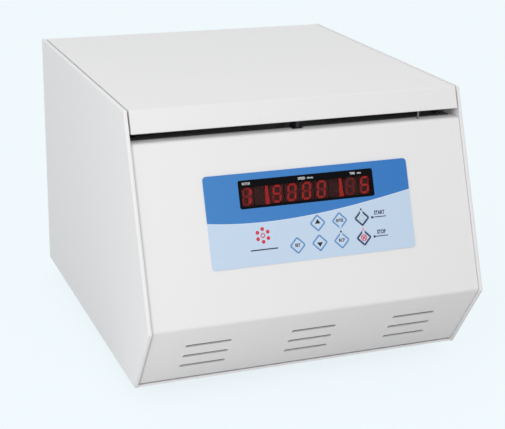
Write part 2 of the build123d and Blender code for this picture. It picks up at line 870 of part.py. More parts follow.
# Lock bracket: two cheeks hanging from the deck, joined by a flange at the top
lock_plane = Plane(origin=(0, lock_y, 0), x_dir=(1, 0, 0), z_dir=(0, -1, 0))
lock_cheek_bottom = top_z - lock_cheek_drop
with BuildPart() as lock_bracket:
    for side in (-1, 1):
        with BuildSketch(lock_plane.offset(side * lock_gap / 2)) as cheek:
            with BuildLine():
                Polyline(
                    (lock_left, deck_under_z),
                    (lock_right, deck_under_z),
                    (lock_right, lock_cheek_bottom),
                    (pivot_x - lock_corner_run, lock_cheek_bottom),
                    (lock_left, lock_cheek_bottom + lock_corner_rise),
                    close=True,
                )
            make_face()
            with Locations((pivot_x, pivot_z)):
                Circle(lock_pin_radius, mode=Mode.SUBTRACT)
        extrude(amount=side * lock_sheet)
    with BuildSketch(Plane.XY.offset(deck_under_z)) as lock_top:
        with Locations(((lock_left + lock_right) / 2, lock_y)):
            Rectangle(lock_right - lock_left, lock_gap)
        with Locations((0, lock_y)):
            Rectangle(striker_slot, lock_gap, mode=Mode.SUBTRACT)
    extrude(amount=-lock_flange)
finish(lock_bracket, "lock_bracket")

# Lock pin: held in both cheeks
with BuildPart() as lock_pin:
    with BuildSketch(lock_plane) as lock_pin_face:
        with Locations((pivot_x, pivot_z)):
            Circle(lock_pin_radius)
    extrude(amount=lock_gap / 2 + lock_sheet, both=True)
finish(lock_pin, "lock_pin")

# Lock hook: a hub on the pin, an arm with a nose towards the striker, and a lever below
nose_tip_x = striker_sheet / 2 + striker_gap
nose_under_z = pivot_z + hook_reach - hook_nose
lever_z = pivot_z - hook_lever
with BuildPart() as lock_hook:
    with BuildSketch(lock_plane) as hook_profile:
        with BuildLine():
            Polyline(
                (pivot_x - hook_hub_radius, pivot_z),
                (pivot_x - hook_hub_radius, nose_under_z - hook_nose_slope),
                (nose_tip_x + hook_nose_slope, nose_under_z),
                (nose_tip_x, nose_under_z),
                (nose_tip_x, pivot_z + hook_reach - hook_nose / 2),
                (nose_tip_x + hook_nose_tip, pivot_z + hook_reach),
                (pivot_x, pivot_z + hook_reach),
                (pivot_x + hook_hub_radius, nose_under_z),
                (pivot_x + hook_hub_radius, pivot_z),
                close=True,
            )
        make_face()
        with BuildLine():
            Polyline(
                (pivot_x - hook_arm / 2, pivot_z),
                (pivot_x + hook_arm / 2, pivot_z),
                (pivot_x + hook_arm / 2, lever_z),
                (pivot_x - hook_arm / 2, lever_z),
                close=True,
            )
        make_face()
        with Locations((pivot_x, lever_z)):
            Circle(hook_lobe)
        with Locations((pivot_x, pivot_z)):
            Circle(hook_hub_radius)
    extrude(amount=hook_thickness / 2, both=True)
    with BuildSketch(lock_plane) as hook_hub:
        with Locations((pivot_x, pivot_z)):
            Circle(hook_hub_radius)
    extrude(amount=lock_gap / 2 - hinge_side_gap, both=True)
    with BuildSketch(lock_plane) as hook_bore:
        with Locations((pivot_x, pivot_z)):
            Circle(lock_pin_radius + pin_clearance)
    extrude(amount=lock_gap, both=True, mode=Mode.SUBTRACT)
finish(lock_hook, "lock_hook")

# Solenoid and its plunger, whose slot holds the hook's lever
solenoid_right = lock_right - solenoid_inset
solenoid_left = solenoid_right - solenoid_length
with BuildPart() as lock_solenoid:
    with BuildSketch(Plane.YZ.offset(solenoid_left)) as solenoid_face:
        with Locations((lock_y, lever_z)):
            RectangleRounded(lock_gap, lock_gap, solenoid_corner)
    extrude(amount=solenoid_length)
    with BuildSketch(Plane.YZ.offset(solenoid_left)) as solenoid_bore:
        with Locations((lock_y, lever_z)):
            Circle(plunger_radius + plunger_clearance)
    extrude(amount=solenoid_length - solenoid_end, mode=Mode.SUBTRACT)
finish(lock_solenoid, "lock_solenoid")

with BuildPart() as solenoid_plunger:
    plunger_start = pivot_x - plunger_slot / 2 - plunger_tip
    with BuildSketch(Plane.YZ.offset(plunger_start)) as plunger_face:
        with Locations((lock_y, lever_z)):
            Circle(plunger_radius)
    extrude(amount=plunger_length)
    groove_floor = lever_z - hook_lobe - plunger_slot_floor
    with BuildSketch(lock_plane) as plunger_groove:
        with Locations((pivot_x, groove_floor)):
            Rectangle(plunger_slot, 2 * plunger_radius + hook_lobe, align=(Align.CENTER, Align.MIN))
    extrude(amount=hook_thickness / 2 + plunger_slot_floor, both=True, mode=Mode.SUBTRACT)
finish(solenoid_plunger, "solenoid_plunger")

# Lid switch under the deck, and its pin that rises through deck and panel to the lid
pin_top_z = lid_bottom_z - lid_switch_gap
switch_top_z = deck_under_z
with BuildPart() as lid_switch:
    with BuildSketch(Plane.XY.offset(switch_top_z)) as lid_switch_face:
        with Locations((lid_switch_x, lid_switch_y)):
            Rectangle(lid_switch_width, lid_switch_depth)
    extrude(amount=-lid_switch_height)
    with BuildSketch(Plane.XY.offset(switch_top_z)) as lid_switch_bore:
        with Locations((lid_switch_x, lid_switch_y)):
            Circle(lid_pin_radius + plunger_clearance)
    extrude(amount=-lid_switch_height / 2, mode=Mode.SUBTRACT)
finish(lid_switch, "lid_switch")

with BuildPart() as lid_switch_plunger:
    pin_bottom_z = switch_top_z - lid_switch_height / 2 + lid_pin_travel + lid_pin_spare
    with BuildSketch(Plane.XY.offset(pin_bottom_z)) as lid_pin_face:
        with Locations((lid_switch_x, lid_switch_y)):
            Circle(lid_pin_radius)
    extrude(amount=pin_top_z - pin_bottom_z)
    fillet(lid_switch_plunger.faces().sort_by(Axis.Z)[-1].edges(), lid_pin_radius / 2)
finish(lid_switch_plunger, "lid_switch_plunger")

# Motor: soft mounts, plate, housing with a neck through the bowl, windings and armature
damper_points = [
    (x, chamber_y + y)
    for x in (-damper_spacing / 2, damper_spacing / 2)
    for y in (-damper_spacing / 2, damper_spacing / 2)
]
with BuildPart() as motor_dampers:
    for x, y in damper_points:
        damper_plane = Plane(origin=(x, y, floor_z), x_dir=(1, 0, 0), z_dir=(0, -1, 0))
        with BuildSketch(damper_plane) as damper_profile:
            with BuildLine():
                Polyline(
                    (0, damper_height), (0, 0), (damper_radius, 0), (damper_radius, damper_flange)
                )
                ThreePointArc(
                    (damper_radius, damper_flange),
                    (damper_waist, damper_height / 2),
                    (damper_radius, damper_height - damper_flange),
                )
                Polyline(
                    (damper_radius, damper_height - damper_flange),
                    (damper_radius, damper_height),
                    (0, damper_height),
                )
            make_face()
        revolve(axis=Axis((x, y, 0), (0, 0, 1)))
finish(motor_dampers, "motor_dampers")

motor_screw_points = [
    (
        motor_screw_circle / 2 * cos(radians(45 + 90 * turn)),
        chamber_y + motor_screw_circle / 2 * sin(radians(45 + 90 * turn)),
    )
    for turn in range(4)
]
with BuildPart() as motor_plate:
    with BuildSketch(Plane.XY.offset(plate_z)) as motor_plate_face:
        with Locations((0, chamber_y)):
            RectangleRounded(motor_plate_size, motor_plate_size, damper_radius)
            Circle(neck_radius, mode=Mode.SUBTRACT)
    extrude(amount=motor_plate_sheet)
finish(motor_plate, "motor_plate")

with BuildPart() as motor_housing:
    with BuildSketch(chamber_plane) as motor_profile:
        with BuildLine():
            FilletPolyline(
                (0, motor_z),
                (motor_radius, motor_z),
                (motor_radius, motor_top_z),
                (neck_radius, motor_top_z),
                (neck_radius, neck_top_z),
                (0, neck_top_z),
                radius=[motor_edge, motor_shoulder, neck_root, motor_edge],
            )
            Line((0, neck_top_z), (0, motor_z))
        make_face()
        with BuildLine():
            Polyline(
                (0, motor_z + motor_wall + bearing_width),
                (bearing_radius + motor_wall, motor_z + motor_wall + bearing_width),
                (bearing_radius + motor_wall, motor_z + motor_wall),
                (motor_radius - motor_wall, motor_z + motor_wall),
                (motor_radius - motor_wall, motor_top_z - motor_wall),
                (0, motor_top_z - motor_wall),
                close=True,
            )
        make_face(mode=Mode.SUBTRACT)
    revolve(axis=chamber_axis)
    with BuildSketch(Plane.XY.offset(neck_top_z)) as upper_seat:
        with Locations((0, chamber_y)):
            Circle(bearing_radius)
    extrude(amount=-(neck_top_z - motor_top_z + motor_wall), mode=Mode.SUBTRACT)
    with BuildSketch(Plane.XY.offset(motor_z + motor_wall)) as lower_seat:
        with Locations((0, chamber_y)):
            Circle(bearing_radius)
    extrude(amount=bearing_width, mode=Mode.SUBTRACT)
finish(motor_housing, "motor_housing")

bearing_bottoms = (motor_z + motor_wall, neck_top_z - bearing_width)
with BuildPart() as motor_bearings:
    for bearing_z in bearing_bottoms:
        with BuildSketch(Plane.XY.offset(bearing_z)) as bearing_face:
            with Locations((0, chamber_y)):
                Circle(bearing_radius)
                Circle(shaft_radius + running_clearance, mode=Mode.SUBTRACT)
        extrude(amount=bearing_width)
finish(motor_bearings, "motor_bearings")

stack_bottom = motor_z + motor_wall + bearing_width + stator_bearing_gap
stack_top = motor_top_z - motor_wall - stator_end_gap
with BuildPart() as motor_stator:
    with BuildSketch(Plane.XY.offset(stack_bottom)) as stator_face:
        with Locations((0, chamber_y)):
            Circle(motor_radius - motor_wall)
            Circle(stator_inner, mode=Mode.SUBTRACT)
    extrude(amount=stack_top - stack_bottom)
finish(motor_stator, "motor_stator")

with BuildPart() as motor_armature:
    with BuildSketch(Plane.XY.offset(stack_bottom)) as armature_face:
        with Locations((0, chamber_y)):
            Circle(armature_radius)
            Circle(shaft_radius, mode=Mode.SUBTRACT)
    extrude(amount=stack_top - stack_bottom)
finish(motor_armature, "motor_armature")

shaft_bottom_z = motor_z + motor_wall + shaft_end_gap
seat_z = rotor_top_z - nut_recess_depth
shaft_top_z = seat_z + shaft_thread
with BuildPart() as drive_shaft:
    with BuildSketch(chamber_plane) as shaft_profile:
        with BuildLine():
            Polyline(
                (0, shaft_bottom_z),
                (shaft_radius, shaft_bottom_z),
                (shaft_radius, rotor_bottom_z - shaft_collar),
                (shaft_radius + shaft_collar_width, rotor_bottom_z - shaft_collar),
                (shaft_radius + shaft_collar_width, rotor_bottom_z),
                (shaft_radius, rotor_bottom_z),
                (shaft_radius, rotor_bottom_z + shaft_shoulder),
                (shaft_top_radius, seat_z),
                (shaft_top_radius, shaft_top_z - shaft_chamfer),
                (shaft_top_radius - shaft_chamfer, shaft_top_z),
                (0, shaft_top_z),
                close=True,
            )
        make_face()
    revolve(axis=chamber_axis)
finish(drive_shaft, "drive_shaft")

with BuildPart() as motor_screws:
    with Locations(*[(x, y, plate_z) for x, y in motor_screw_points]):
        Cylinder(
            screw_head_radius, screw_head, align=(Align.CENTER, Align.CENTER, Align.MAX)
        )
finish(motor_screws, "motor_screws")

# Shaft boot: rubber cone that closes the bowl's hole against the motor's neck
with BuildPart() as shaft_boot:
    boot_low_z = bowl_floor_z - bowl_sheet
    with BuildSketch(chamber_plane) as boot_profile:
        with BuildLine():
            Polyline(
                (neck_radius, boot_low_z - boot_height),
                (neck_radius + boot_wall, boot_low_z - boot_height),
                (neck_radius + boot_wall, boot_low_z - boot_wall),
                (bowl_hole_radius + boot_lip, boot_low_z - boot_wall),
                (bowl_hole_radius + boot_lip, boot_low_z),
                (neck_radius, boot_low_z),
                close=True,
            )
        make_face()
    revolve(axis=chamber_axis)
finish(shaft_boot, "shaft_boot")

# Rotor: cone with slanted round-bottomed pockets, a recess for the nut and a hollow below
with BuildPart() as rotor_body:
    with BuildSketch(chamber_plane) as rotor_profile:
        with BuildLine():
            Polyline(
                (0, rotor_bottom_z),
                (rotor_radius - rotor_chamfer, rotor_bottom_z),
                (rotor_radius, rotor_bottom_z + rotor_chamfer),
                (rotor_radius, rotor_bottom_z + rotor_edge),
                (rotor_top_radius, rotor_top_z),
                (nut_recess_radius, rotor_top_z),
                (nut_recess_radius - nut_recess_taper, seat_z),
                (0, seat_z),
                close=True,
            )
        make_face()
        fillet(rotor_profile.vertices().group_by(Axis.X)[-1], rotor_edge_radius)
    revolve(axis=chamber_axis)
    with BuildSketch(chamber_plane) as rotor_hollow:
        with BuildLine():
            Polyline(
                (rotor_hollow_inner, rotor_bottom_z),
                (rotor_hollow_outer, rotor_bottom_z),
                (rotor_hollow_outer - hollow_outer_taper, rotor_bottom_z + rotor_hollow_depth),
                (rotor_hollow_inner + hollow_inner_taper, rotor_bottom_z + rotor_hollow_depth),
                close=True,
            )
        make_face()
    revolve(axis=chamber_axis, mode=Mode.SUBTRACT)
    with BuildSketch(chamber_plane) as rotor_bore:
        with BuildLine():
            Polyline(
                (0, rotor_bottom_z),
                (shaft_radius + running_clearance, rotor_bottom_z),
                (shaft_radius + running_clearance, rotor_bottom_z + shaft_shoulder),
                (shaft_top_radius + running_clearance, seat_z),
                (0, seat_z),
                close=True,
            )
        make_face()
    revolve(axis=chamber_axis, mode=Mode.SUBTRACT)
    for tube in range(tube_count):
        heading = radians(360 / tube_count * tube)
        outward = (cos(heading), sin(heading))
        tube_dir = (
            sin(radians(tube_angle)) * outward[0],
            sin(radians(tube_angle)) * outward[1],
            -cos(radians(tube_angle)),
        )
        mouth = Plane(
            origin=(tube_circle * outward[0], chamber_y + tube_circle * outward[1], rotor_top_z),
            x_dir=(-outward[1], outward[0], 0),
            z_dir=tube_dir,
        )
        with BuildSketch(mouth.offset(-2 * tube_radius)) as tube_bore:
            Circle(tube_radius)
        extrude(amount=2 * tube_radius + tube_straight, mode=Mode.SUBTRACT)
        with Locations(mouth.offset(tube_straight)):
            Sphere(tube_radius, mode=Mode.SUBTRACT)
finish(rotor_body, "rotor_body")

# Rotor nut: fluted hand nut on the shaft's end
with BuildPart() as rotor_nut:
    with BuildSketch(Plane.XY.offset(seat_z)) as nut_base:
        with Locations((0, chamber_y)):
            Circle(nut_radius + nut_flange)
    extrude(amount=nut_flange_height)
    with BuildSketch(Plane.XY.offset(seat_z + nut_flange_height)) as nut_grip:
        with Locations((0, chamber_y)):
            Circle(nut_radius)
            with PolarLocations(nut_radius + nut_flute_offset, nut_flutes):
                Circle(nut_flute_radius, mode=Mode.SUBTRACT)
    extrude(amount=nut_height - nut_flange_height)
    with BuildSketch(Plane.XY.offset(seat_z)) as nut_bore:
        with Locations((0, chamber_y)):
            Circle(shaft_top_radius + running_clearance)
    extrude(amount=shaft_thread + shaft_chamfer, mode=Mode.SUBTRACT)
finish(rotor_nut, "rotor_nut")

# Control panel: printed overlay with a window and seven diamond keys let into it
key_cut = key_side + 2 * key_clearance
with BuildPart() as keypad_overlay:
    with BuildSketch(panel_plane) as overlay_face:
        with Locations((0, -overlay_middle)):
            RectangleRounded(overlay_width, overlay_height, overlay_corner)
        with Locations((window_across, -window_middle)):
            RectangleRounded(
                window_cut_width, window_cut_height, window_corner, mode=Mode.SUBTRACT
            )
        with Locations(*key_points):
            RectangleRounded(
                key_cut, key_cut, key_corner + key_clearance, rotation=45, mode=Mode.SUBTRACT
            )
    extrude(amount=overlay_sheet)
finish(keypad_overlay, "keypad_overlay")

with BuildPart() as display_window:
    with BuildSketch(panel_plane.offset(overlay_sheet)) as window_face:
        with Locations((window_across, -window_middle)):
            RectangleRounded(window_width, window_height, window_corner - window_clearance)
    extrude(amount=-(overlay_sheet + panel_sheet))
finish(display_window, "display_window")

digit_front = -(panel_sheet + digit_gap)
board_front = digit_front - digit_depth
switch_top = board_front + switch_height
for label, (x, down) in key_places.items():
    with BuildPart() as key:
        with BuildSketch(panel_plane) as key_cap:
            with Locations((x, -down)):
                RectangleRounded(key_side, key_side, key_corner, rotation=45)
        extrude(amount=overlay_sheet)
        with BuildSketch(panel_plane) as key_stem:
            with Locations((x, -down)):
                Circle(key_stem_radius)
        extrude(amount=switch_top + key_travel + digit_gap / 2)
    finish(key, label)

with BuildPart() as display_board:
    with BuildSketch(panel_plane.offset(board_front)) as board_face:
        with Locations((0, -board_middle)):
            Rectangle(board_width, board_height)
            board_grid = GridLocations(
                board_width - 2 * standoff_inset, board_height - 2 * standoff_inset, 2, 2
            )
            with board_grid:
                Circle(standoff_hole, mode=Mode.SUBTRACT)
    extrude(amount=-board_sheet)
finish(display_board, "display_board")

with BuildPart() as board_standoffs:
    with BuildSketch(panel_plane.offset(-panel_sheet)) as standoff_faces:
        with Locations((0, -board_middle)):
            with GridLocations(
                board_width - 2 * standoff_inset, board_height - 2 * standoff_inset, 2, 2
            ):
                Circle(standoff_radius)
    extrude(amount=board_front + panel_sheet)
finish(board_standoffs, "board_standoffs")

with BuildPart() as led_digits:
    with BuildSketch(panel_plane.offset(digit_front)) as digit_faces:
        for place in range(digit_count):
            x = digit_middle + (place - (digit_count - 1) / 2) * digit_pitch
            with Locations((x, -digit_row)):
                Rectangle(digit_width, digit_height)
    extrude(amount=-digit_depth)
finish(led_digits, "led_digits")

with BuildPart() as key_switches:
    with BuildSketch(panel_plane.offset(board_front)) as switch_bodies:
        with Locations(*key_points):
            Rectangle(switch_size, switch_size)
    extrude(amount=switch_height - switch_tip)
    with BuildSketch(panel_plane.offset(board_front)) as switch_tips:
        with Locations(*key_points):
            Circle(switch_tip_radius)
    extrude(amount=switch_height)
finish(key_switches, "key_switches")

# Rear electrics: fan, mains inlet, rocker switch and fuse
fan_plane = Plane(origin=(fan_x, rear_inner_y, fan_z), x_dir=(1, 0, 0), z_dir=(0, -1, 0))
with BuildPart() as fan_frame:
    with BuildSketch(fan_plane) as fan_outline:
        RectangleRounded(fan_size, fan_size, fan_corner)
        Circle(fan_bore, mode=Mode.SUBTRACT)
    extrude(amount=fan_depth)
    with BuildSketch(fan_plane.offset(fan_depth - fan_spoke)) as fan_spokes:
        Circle(fan_hub)
        Rectangle(2 * fan_bore + fan_wall, fan_spoke_width)
        Rectangle(fan_spoke_width, 2 * fan_bore + fan_wall)
    extrude(amount=fan_spoke)
    with BuildSketch(fan_plane.offset(fan_depth - fan_spoke)) as fan_pin:
        Circle(fan_shaft_radius)
    extrude(amount=-fan_post)
finish(fan_frame, "fan_frame")

with BuildPart() as fan_impeller:
    with BuildSketch(fan_plane.offset(fan_front_gap)) as impeller_hub:
        Circle(fan_hub - fan_hub_step)
    extrude(amount=fan_depth - fan_front_gap - fan_rear_gap)
    with BuildSketch(fan_plane.offset(fan_front_gap + fan_hub_wall)) as impeller_bore:
        Circle(fan_shaft_radius + running_clearance)
    extrude(amount=fan_depth, mode=Mode.SUBTRACT)
    blade_middle = fan_depth / 2 - blade_lead
    for blade in range(fan_blades):
        turn = radians(360 / fan_blades * blade)
        radial = (cos(turn), 0, sin(turn))
        tangent = (-sin(turn), 0, cos(turn))
        root = Plane(
            origin=(fan_x, rear_inner_y - blade_middle, fan_z), x_dir=tangent, z_dir=radial
        )
        with BuildSketch(root.offset(fan_hub - blade_sink)) as blade_root:
            Rectangle(blade_root_chord, blade_root_sheet, rotation=blade_root_pitch)
        with BuildSketch(root.offset(fan_bore)) as blade_tip:
            Rectangle(blade_tip_chord, blade_tip_sheet, rotation=blade_tip_pitch)
        loft(sections=[blade_root.sketch, blade_tip.sketch])
    with BuildSketch(fan_plane) as blade_trim:
        Circle(2 * fan_bore)
        Circle(fan_bore - fan_tip_gap, mode=Mode.SUBTRACT)
    extrude(amount=fan_depth, mode=Mode.SUBTRACT)
finish(fan_impeller, "fan_impeller")

inlet_plane = Plane(origin=(inlet_x, rear_y, electrics_z), x_dir=(-1, 0, 0), z_dir=(0, 1, 0))
with BuildPart() as power_inlet:
    with BuildSketch(inlet_plane) as inlet_flange:
        RectangleRounded(inlet_flange_width, inlet_flange_height, inlet_corner)
    extrude(amount=rear_flange)
    with BuildSketch(inlet_plane) as inlet_body:
        Rectangle(inlet_body_width, inlet_body_height)
    extrude(amount=-inlet_body_depth)
    with BuildSketch(inlet_plane.offset(rear_flange)) as inlet_socket:
        Rectangle(inlet_socket_width, inlet_socket_height)
        chamfer(inlet_socket.vertices().group_by(Axis.Z)[-1], inlet_corner)
    extrude(amount=-inlet_socket_depth, mode=Mode.SUBTRACT)
    with BuildSketch(inlet_plane.offset(rear_flange - inlet_socket_depth)) as inlet_pins:
        with Locations((-inlet_pin_spread, 0), (inlet_pin_spread, 0), (0, inlet_pin_rise)):
            Rectangle(inlet_pin_sheet, inlet_pin_width)
    extrude(amount=inlet_socket_depth - inlet_pin_recess)
finish(power_inlet, "power_inlet")

switch_plane = Plane(origin=(rocker_x, rear_y, electrics_z), x_dir=(-1, 0, 0), z_dir=(0, 1, 0))
with BuildPart() as switch_frame:
    with BuildSketch(switch_plane) as frame_flange:
        RectangleRounded(
            rocker_body_width + 2 * rocker_rim, rocker_body_height + 2 * rocker_rim, rear_corner
        )
    extrude(amount=rear_flange)
    with BuildSketch(switch_plane) as frame_body:
        Rectangle(rocker_body_width, rocker_body_height)
    extrude(amount=-rocker_body_depth)
    with BuildSketch(switch_plane.offset(rear_flange)) as frame_well:
        Rectangle(rocker_width + 2 * rocker_side_gap, rocker_height + 2 * rocker_end_gap)
    extrude(amount=-(rear_flange + rocker_body_depth - rocker_floor), mode=Mode.SUBTRACT)
finish(switch_frame, "switch_frame")

# The rocker is drawn in its off position, its upper half pushed in
rocker_pivot_y = rear_y - rocker_pivot_depth
rocker_tilt = radians(rocker_throw)
rocker_side = Plane(
    origin=(rocker_x, rocker_pivot_y, electrics_z),
    x_dir=(0, cos(rocker_tilt), sin(rocker_tilt)),
    z_dir=(1, 0, 0),
)
with BuildPart() as power_rocker:
    face_rise = rocker_pivot_depth + rocker_stand
    with BuildSketch(rocker_side) as rocker_profile:
        with BuildLine():
            Polyline(
                (-rocker_root, -rocker_root_half),
                (rocker_edge, -rocker_height / 2),
                (face_rise, -rocker_height / 2),
                (face_rise - rocker_dip, 0),
                (face_rise, rocker_height / 2),
                (rocker_edge, rocker_height / 2),
                (-rocker_root, rocker_root_half),
                close=True,
            )
        make_face()
    extrude(amount=rocker_width / 2, both=True)
finish(power_rocker, "power_rocker")

fuse_plane = Plane(origin=(fuse_x, rear_y, electrics_z), x_dir=(-1, 0, 0), z_dir=(0, 1, 0))
with BuildPart() as fuse_holder:
    with BuildSketch(fuse_plane) as fuse_cap:
        Circle(fuse_cap_radius)
    extrude(amount=fuse_cap_height)
    with BuildSketch(fuse_plane) as fuse_body:
        Circle(fuse_body_radius)
    extrude(amount=-fuse_body_depth)
    with BuildSketch(fuse_plane.offset(fuse_cap_height)) as fuse_groove:
        Rectangle(2 * fuse_cap_radius, fuse_slot)
    extrude(amount=-fuse_slot_depth, mode=Mode.SUBTRACT)
finish(fuse_holder, "fuse_holder")

# Electronics: drive board on posts, with smoothing capacitors and a finned heat sink
board_z = floor_z + main_board_lift
board_top_z = board_z + board_sheet
with BuildPart() as main_board:
    with BuildSketch(Plane.XY.offset(board_z)) as main_board_face:
        with Locations((main_board_x, main_board_y)):
            Rectangle(main_board_width, main_board_length)
    extrude(amount=board_sheet)
finish(main_board, "main_board")

with BuildPart() as main_board_posts:
    with BuildSketch(Plane.XY.offset(floor_z)) as post_faces:
        with Locations((main_board_x, main_board_y)):
            with GridLocations(
                main_board_width - 2 * standoff_inset, main_board_length - 2 * standoff_inset, 2, 2
            ):
                Circle(standoff_radius)
    extrude(amount=main_board_lift)
finish(main_board_posts, "main_board_posts")

with BuildPart() as capacitors:
    with BuildSketch(Plane.XY.offset(board_top_z)) as capacitor_faces:
        with Locations((main_board_x, main_board_y - main_board_length / 4)):
            with GridLocations(0, capacitor_spacing, 1, 2):
                Circle(capacitor_radius)
    extrude(amount=capacitor_height)
finish(capacitors, "capacitors")

with BuildPart() as heat_sink:
    with BuildSketch(Plane.XZ.offset(-(main_board_y + main_board_length / 4))) as fin_profile:
        fin_step = (heat_sink_width - heat_sink_fin) / (heat_sink_fins - 1)
        with Locations((main_board_x, board_top_z + heat_sink_base / 2)):
            Rectangle(heat_sink_width, heat_sink_base)
        with Locations((main_board_x, board_top_z + heat_sink_height / 2)):
            with GridLocations(fin_step, 0, heat_sink_fins, 1):
                Rectangle(heat_sink_fin, heat_sink_height)
    extrude(amount=heat_sink_length / 2, both=True)
finish(heat_sink, "heat_sink")

# Feet and screws
foot_head_z = foot_screw_depth + screw_head
with BuildPart() as feet:
    for x, y in foot_points:
        foot_plane = Plane(origin=(x, y, 0), x_dir=(1, 0, 0), z_dir=(0, -1, 0))
        with BuildSketch(foot_plane) as foot_profile:
            with BuildLine():
                Polyline(
                    (0, foot_head_z),
                    (screw_head_radius + foot_head_clearance, foot_head_z),
                    (screw_head_radius + foot_head_clearance, 0),
                    (foot_radius - foot_chamfer, 0),
                    (foot_radius, foot_chamfer),
                    (foot_radius - foot_taper, foot_height),
                    (0, foot_height),
                    close=True,
                )
            make_face()
            with BuildLine():
                Polyline(
                    (0, screw_head),
                    (screw_radius + screw_clearance, screw_head),
                    (screw_radius + screw_clearance, foot_height),
                    (0, foot_height),
                    close=True,
                )
            make_face(mode=Mode.SUBTRACT)
        revolve(axis=Axis((x, y, 0), (0, 0, 1)))
finish(feet, "feet")

with BuildPart() as foot_screws:
    with Locations(*[(x, y, foot_head_z) for x, y in foot_points]):
        Cylinder(screw_head_radius, screw_head, align=(Align.CENTER, Align.CENTER, Align.MAX))
    shank_z = foot_head_z - screw_head / 2
    with Locations(*[(x, y, shank_z) for x, y in foot_points]):
        Cylinder(
            screw_radius,
            floor_z + foot_screw_tail - shank_z,
            align=(Align.CENTER, Align.CENTER, Align.MIN),
        )
finish(foot_screws, "foot_screws")

rear_screw_points = [
    (x, z)
    for x in (sheet_screw_inset - inner_half, inner_half - sheet_screw_inset)
    for z in (floor_z + sheet_screw_inset, (base_z + deck_z) / 2, deck_under_z - rear_screw_top)
]
rear_screw_points += [
    (inlet_x + side * (inlet_flange_width / 2 - inlet_screw_inset), electrics_z)
    for side in (-1, 1)
]
rear_screw_points += [
    (fan_x + x * (fan_size / 2 - fan_screw_inset), fan_z + z * (fan_size / 2 - fan_screw_inset))
    for x in (-1, 1)
    for z in (-1, 1)
]
with BuildPart() as rear_screws:
    for x, z in rear_screw_points:
        on_flange = z == electrics_z
        screw_seat = rear_y + (rear_flange if on_flange else 0)
        with BuildSketch(Plane.XZ.offset(-screw_seat)) as rear_head:
            with Locations((x, z)):
                Circle(sheet_screw_radius)
        extrude(amount=-sheet_screw_head)
finish(rear_screws, "rear_screws")

deck_screw_points = [
    (x, y)
    for x in (-deck_screw_x, deck_screw_x)
    for y in (deck_front_y + fold_depth + sheet_screw_inset, chamber_y, rear_y - deck_screw_back)
]
with BuildPart() as deck_screws:
    with BuildSketch(Plane.XY.offset(deck_z)) as deck_heads:
        with Locations(*deck_screw_points):
            Circle(sheet_screw_radius)
    extrude(amount=sheet_screw_head)
finish(deck_screws, "deck_screws")
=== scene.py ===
"""Finishes a benchtop centrifuge: paint, printed control panel, display, screws and stage."""

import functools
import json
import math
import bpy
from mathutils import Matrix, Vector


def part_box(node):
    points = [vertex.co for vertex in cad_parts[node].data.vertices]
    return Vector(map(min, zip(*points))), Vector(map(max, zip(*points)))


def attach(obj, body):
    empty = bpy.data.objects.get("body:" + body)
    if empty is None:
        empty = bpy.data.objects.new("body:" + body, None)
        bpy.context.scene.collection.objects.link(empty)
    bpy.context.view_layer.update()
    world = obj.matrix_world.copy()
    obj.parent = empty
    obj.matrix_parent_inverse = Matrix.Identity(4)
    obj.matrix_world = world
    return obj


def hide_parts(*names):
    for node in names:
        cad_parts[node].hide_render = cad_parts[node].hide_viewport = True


bl_info = {
    "name": "Benchtop Centrifuge",
    "version": (1, 0, 0),
    "blender": (4, 5, 0),
    "location": "View3D > Sidebar > Centrifuge",
    "description": "Paints and details a benchtop centrifuge on its packed frame",
    "category": "Object",
}

import bmesh
import bpy
from mathutils import Matrix, Vector

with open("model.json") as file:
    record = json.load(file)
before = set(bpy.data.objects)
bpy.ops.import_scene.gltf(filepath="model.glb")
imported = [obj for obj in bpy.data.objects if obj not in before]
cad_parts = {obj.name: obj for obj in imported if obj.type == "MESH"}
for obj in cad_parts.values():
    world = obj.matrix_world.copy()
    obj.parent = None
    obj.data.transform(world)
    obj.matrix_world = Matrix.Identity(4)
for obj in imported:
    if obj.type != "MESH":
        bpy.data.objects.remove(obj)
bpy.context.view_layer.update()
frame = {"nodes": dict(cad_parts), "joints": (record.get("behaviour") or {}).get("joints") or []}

MM = 0.001
TO_MM = 1000.0
NODES = frame["nodes"]

# The control panel, read from the frame: a key travels along the panel's inward normal
KEY_JOINT = next(joint for joint in frame["joints"] if joint["name"] == "key_start_press")
INWARD = Vector(KEY_JOINT["axis"])
OUTWARD = -INWARD
UP_SLOPE = Vector((0, -INWARD.z, INWARD.y))
OVERLAY_LOW, OVERLAY_HIGH = (Vector(corner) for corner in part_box("keypad_overlay"))

# Distances on the panel are in millimetres: across from its middle, and down the slope
# from the lid's top front edge
OVERLAY_TOP = 57.65
KEYS = ("key_set", "key_up", "key_down", "key_enter", "key_mode", "key_start", "key_stop")
KEY_CORNER = 1.4
LEAST_CORNER = 0.2

# Straight stretches in a rounded corner and in a ring
CORNER_STEPS = 5
RING_STEPS = 24

# The wave that parts the two blues: its place down the panel is a cubic of the share of the
# way from the middle to the right end
WAVE = (96.9, -7.585, -7.1, 1.83)
WAVE_HALF_WIDTH = 91.0
WAVE_BLUR = 0.24

# Painted highlight: the pale line just under the wave
HIGHLIGHT_DROP = 0.35
HIGHLIGHT_HALF_WIDTH = 0.2
HIGHLIGHT_BLUR = 0.3

# The window's black border, and the share of the light that its clear part stops
BORDER_SIDE = 2.4
BORDER_TOP = 5.5
BORDER_BOTTOM = 2.2
BORDER_BLUR = 0.3
WINDOW_TINT = 0.30

# Painted shade in a corner of the paint, in metres: it starts past the corner, fades out, and is
# darker below the height of the front's bend
CORNER_SHADE_START = 0.0006
CORNER_SHADE_FADE = 0.0019
CORNER_SHADE_BEND = 0.072
CORNER_SHADE_BEND_FADE = 0.008
CORNER_SHADE_SHARE = 0.34
CORNER_SHADE_ADDED_LOW = 0.30
CORNER_SHADE_COLOUR = (0.24, 0.24, 0.24)

# A capital letter's height as a share of the font's size
CAPITAL_SHARE = 0.7

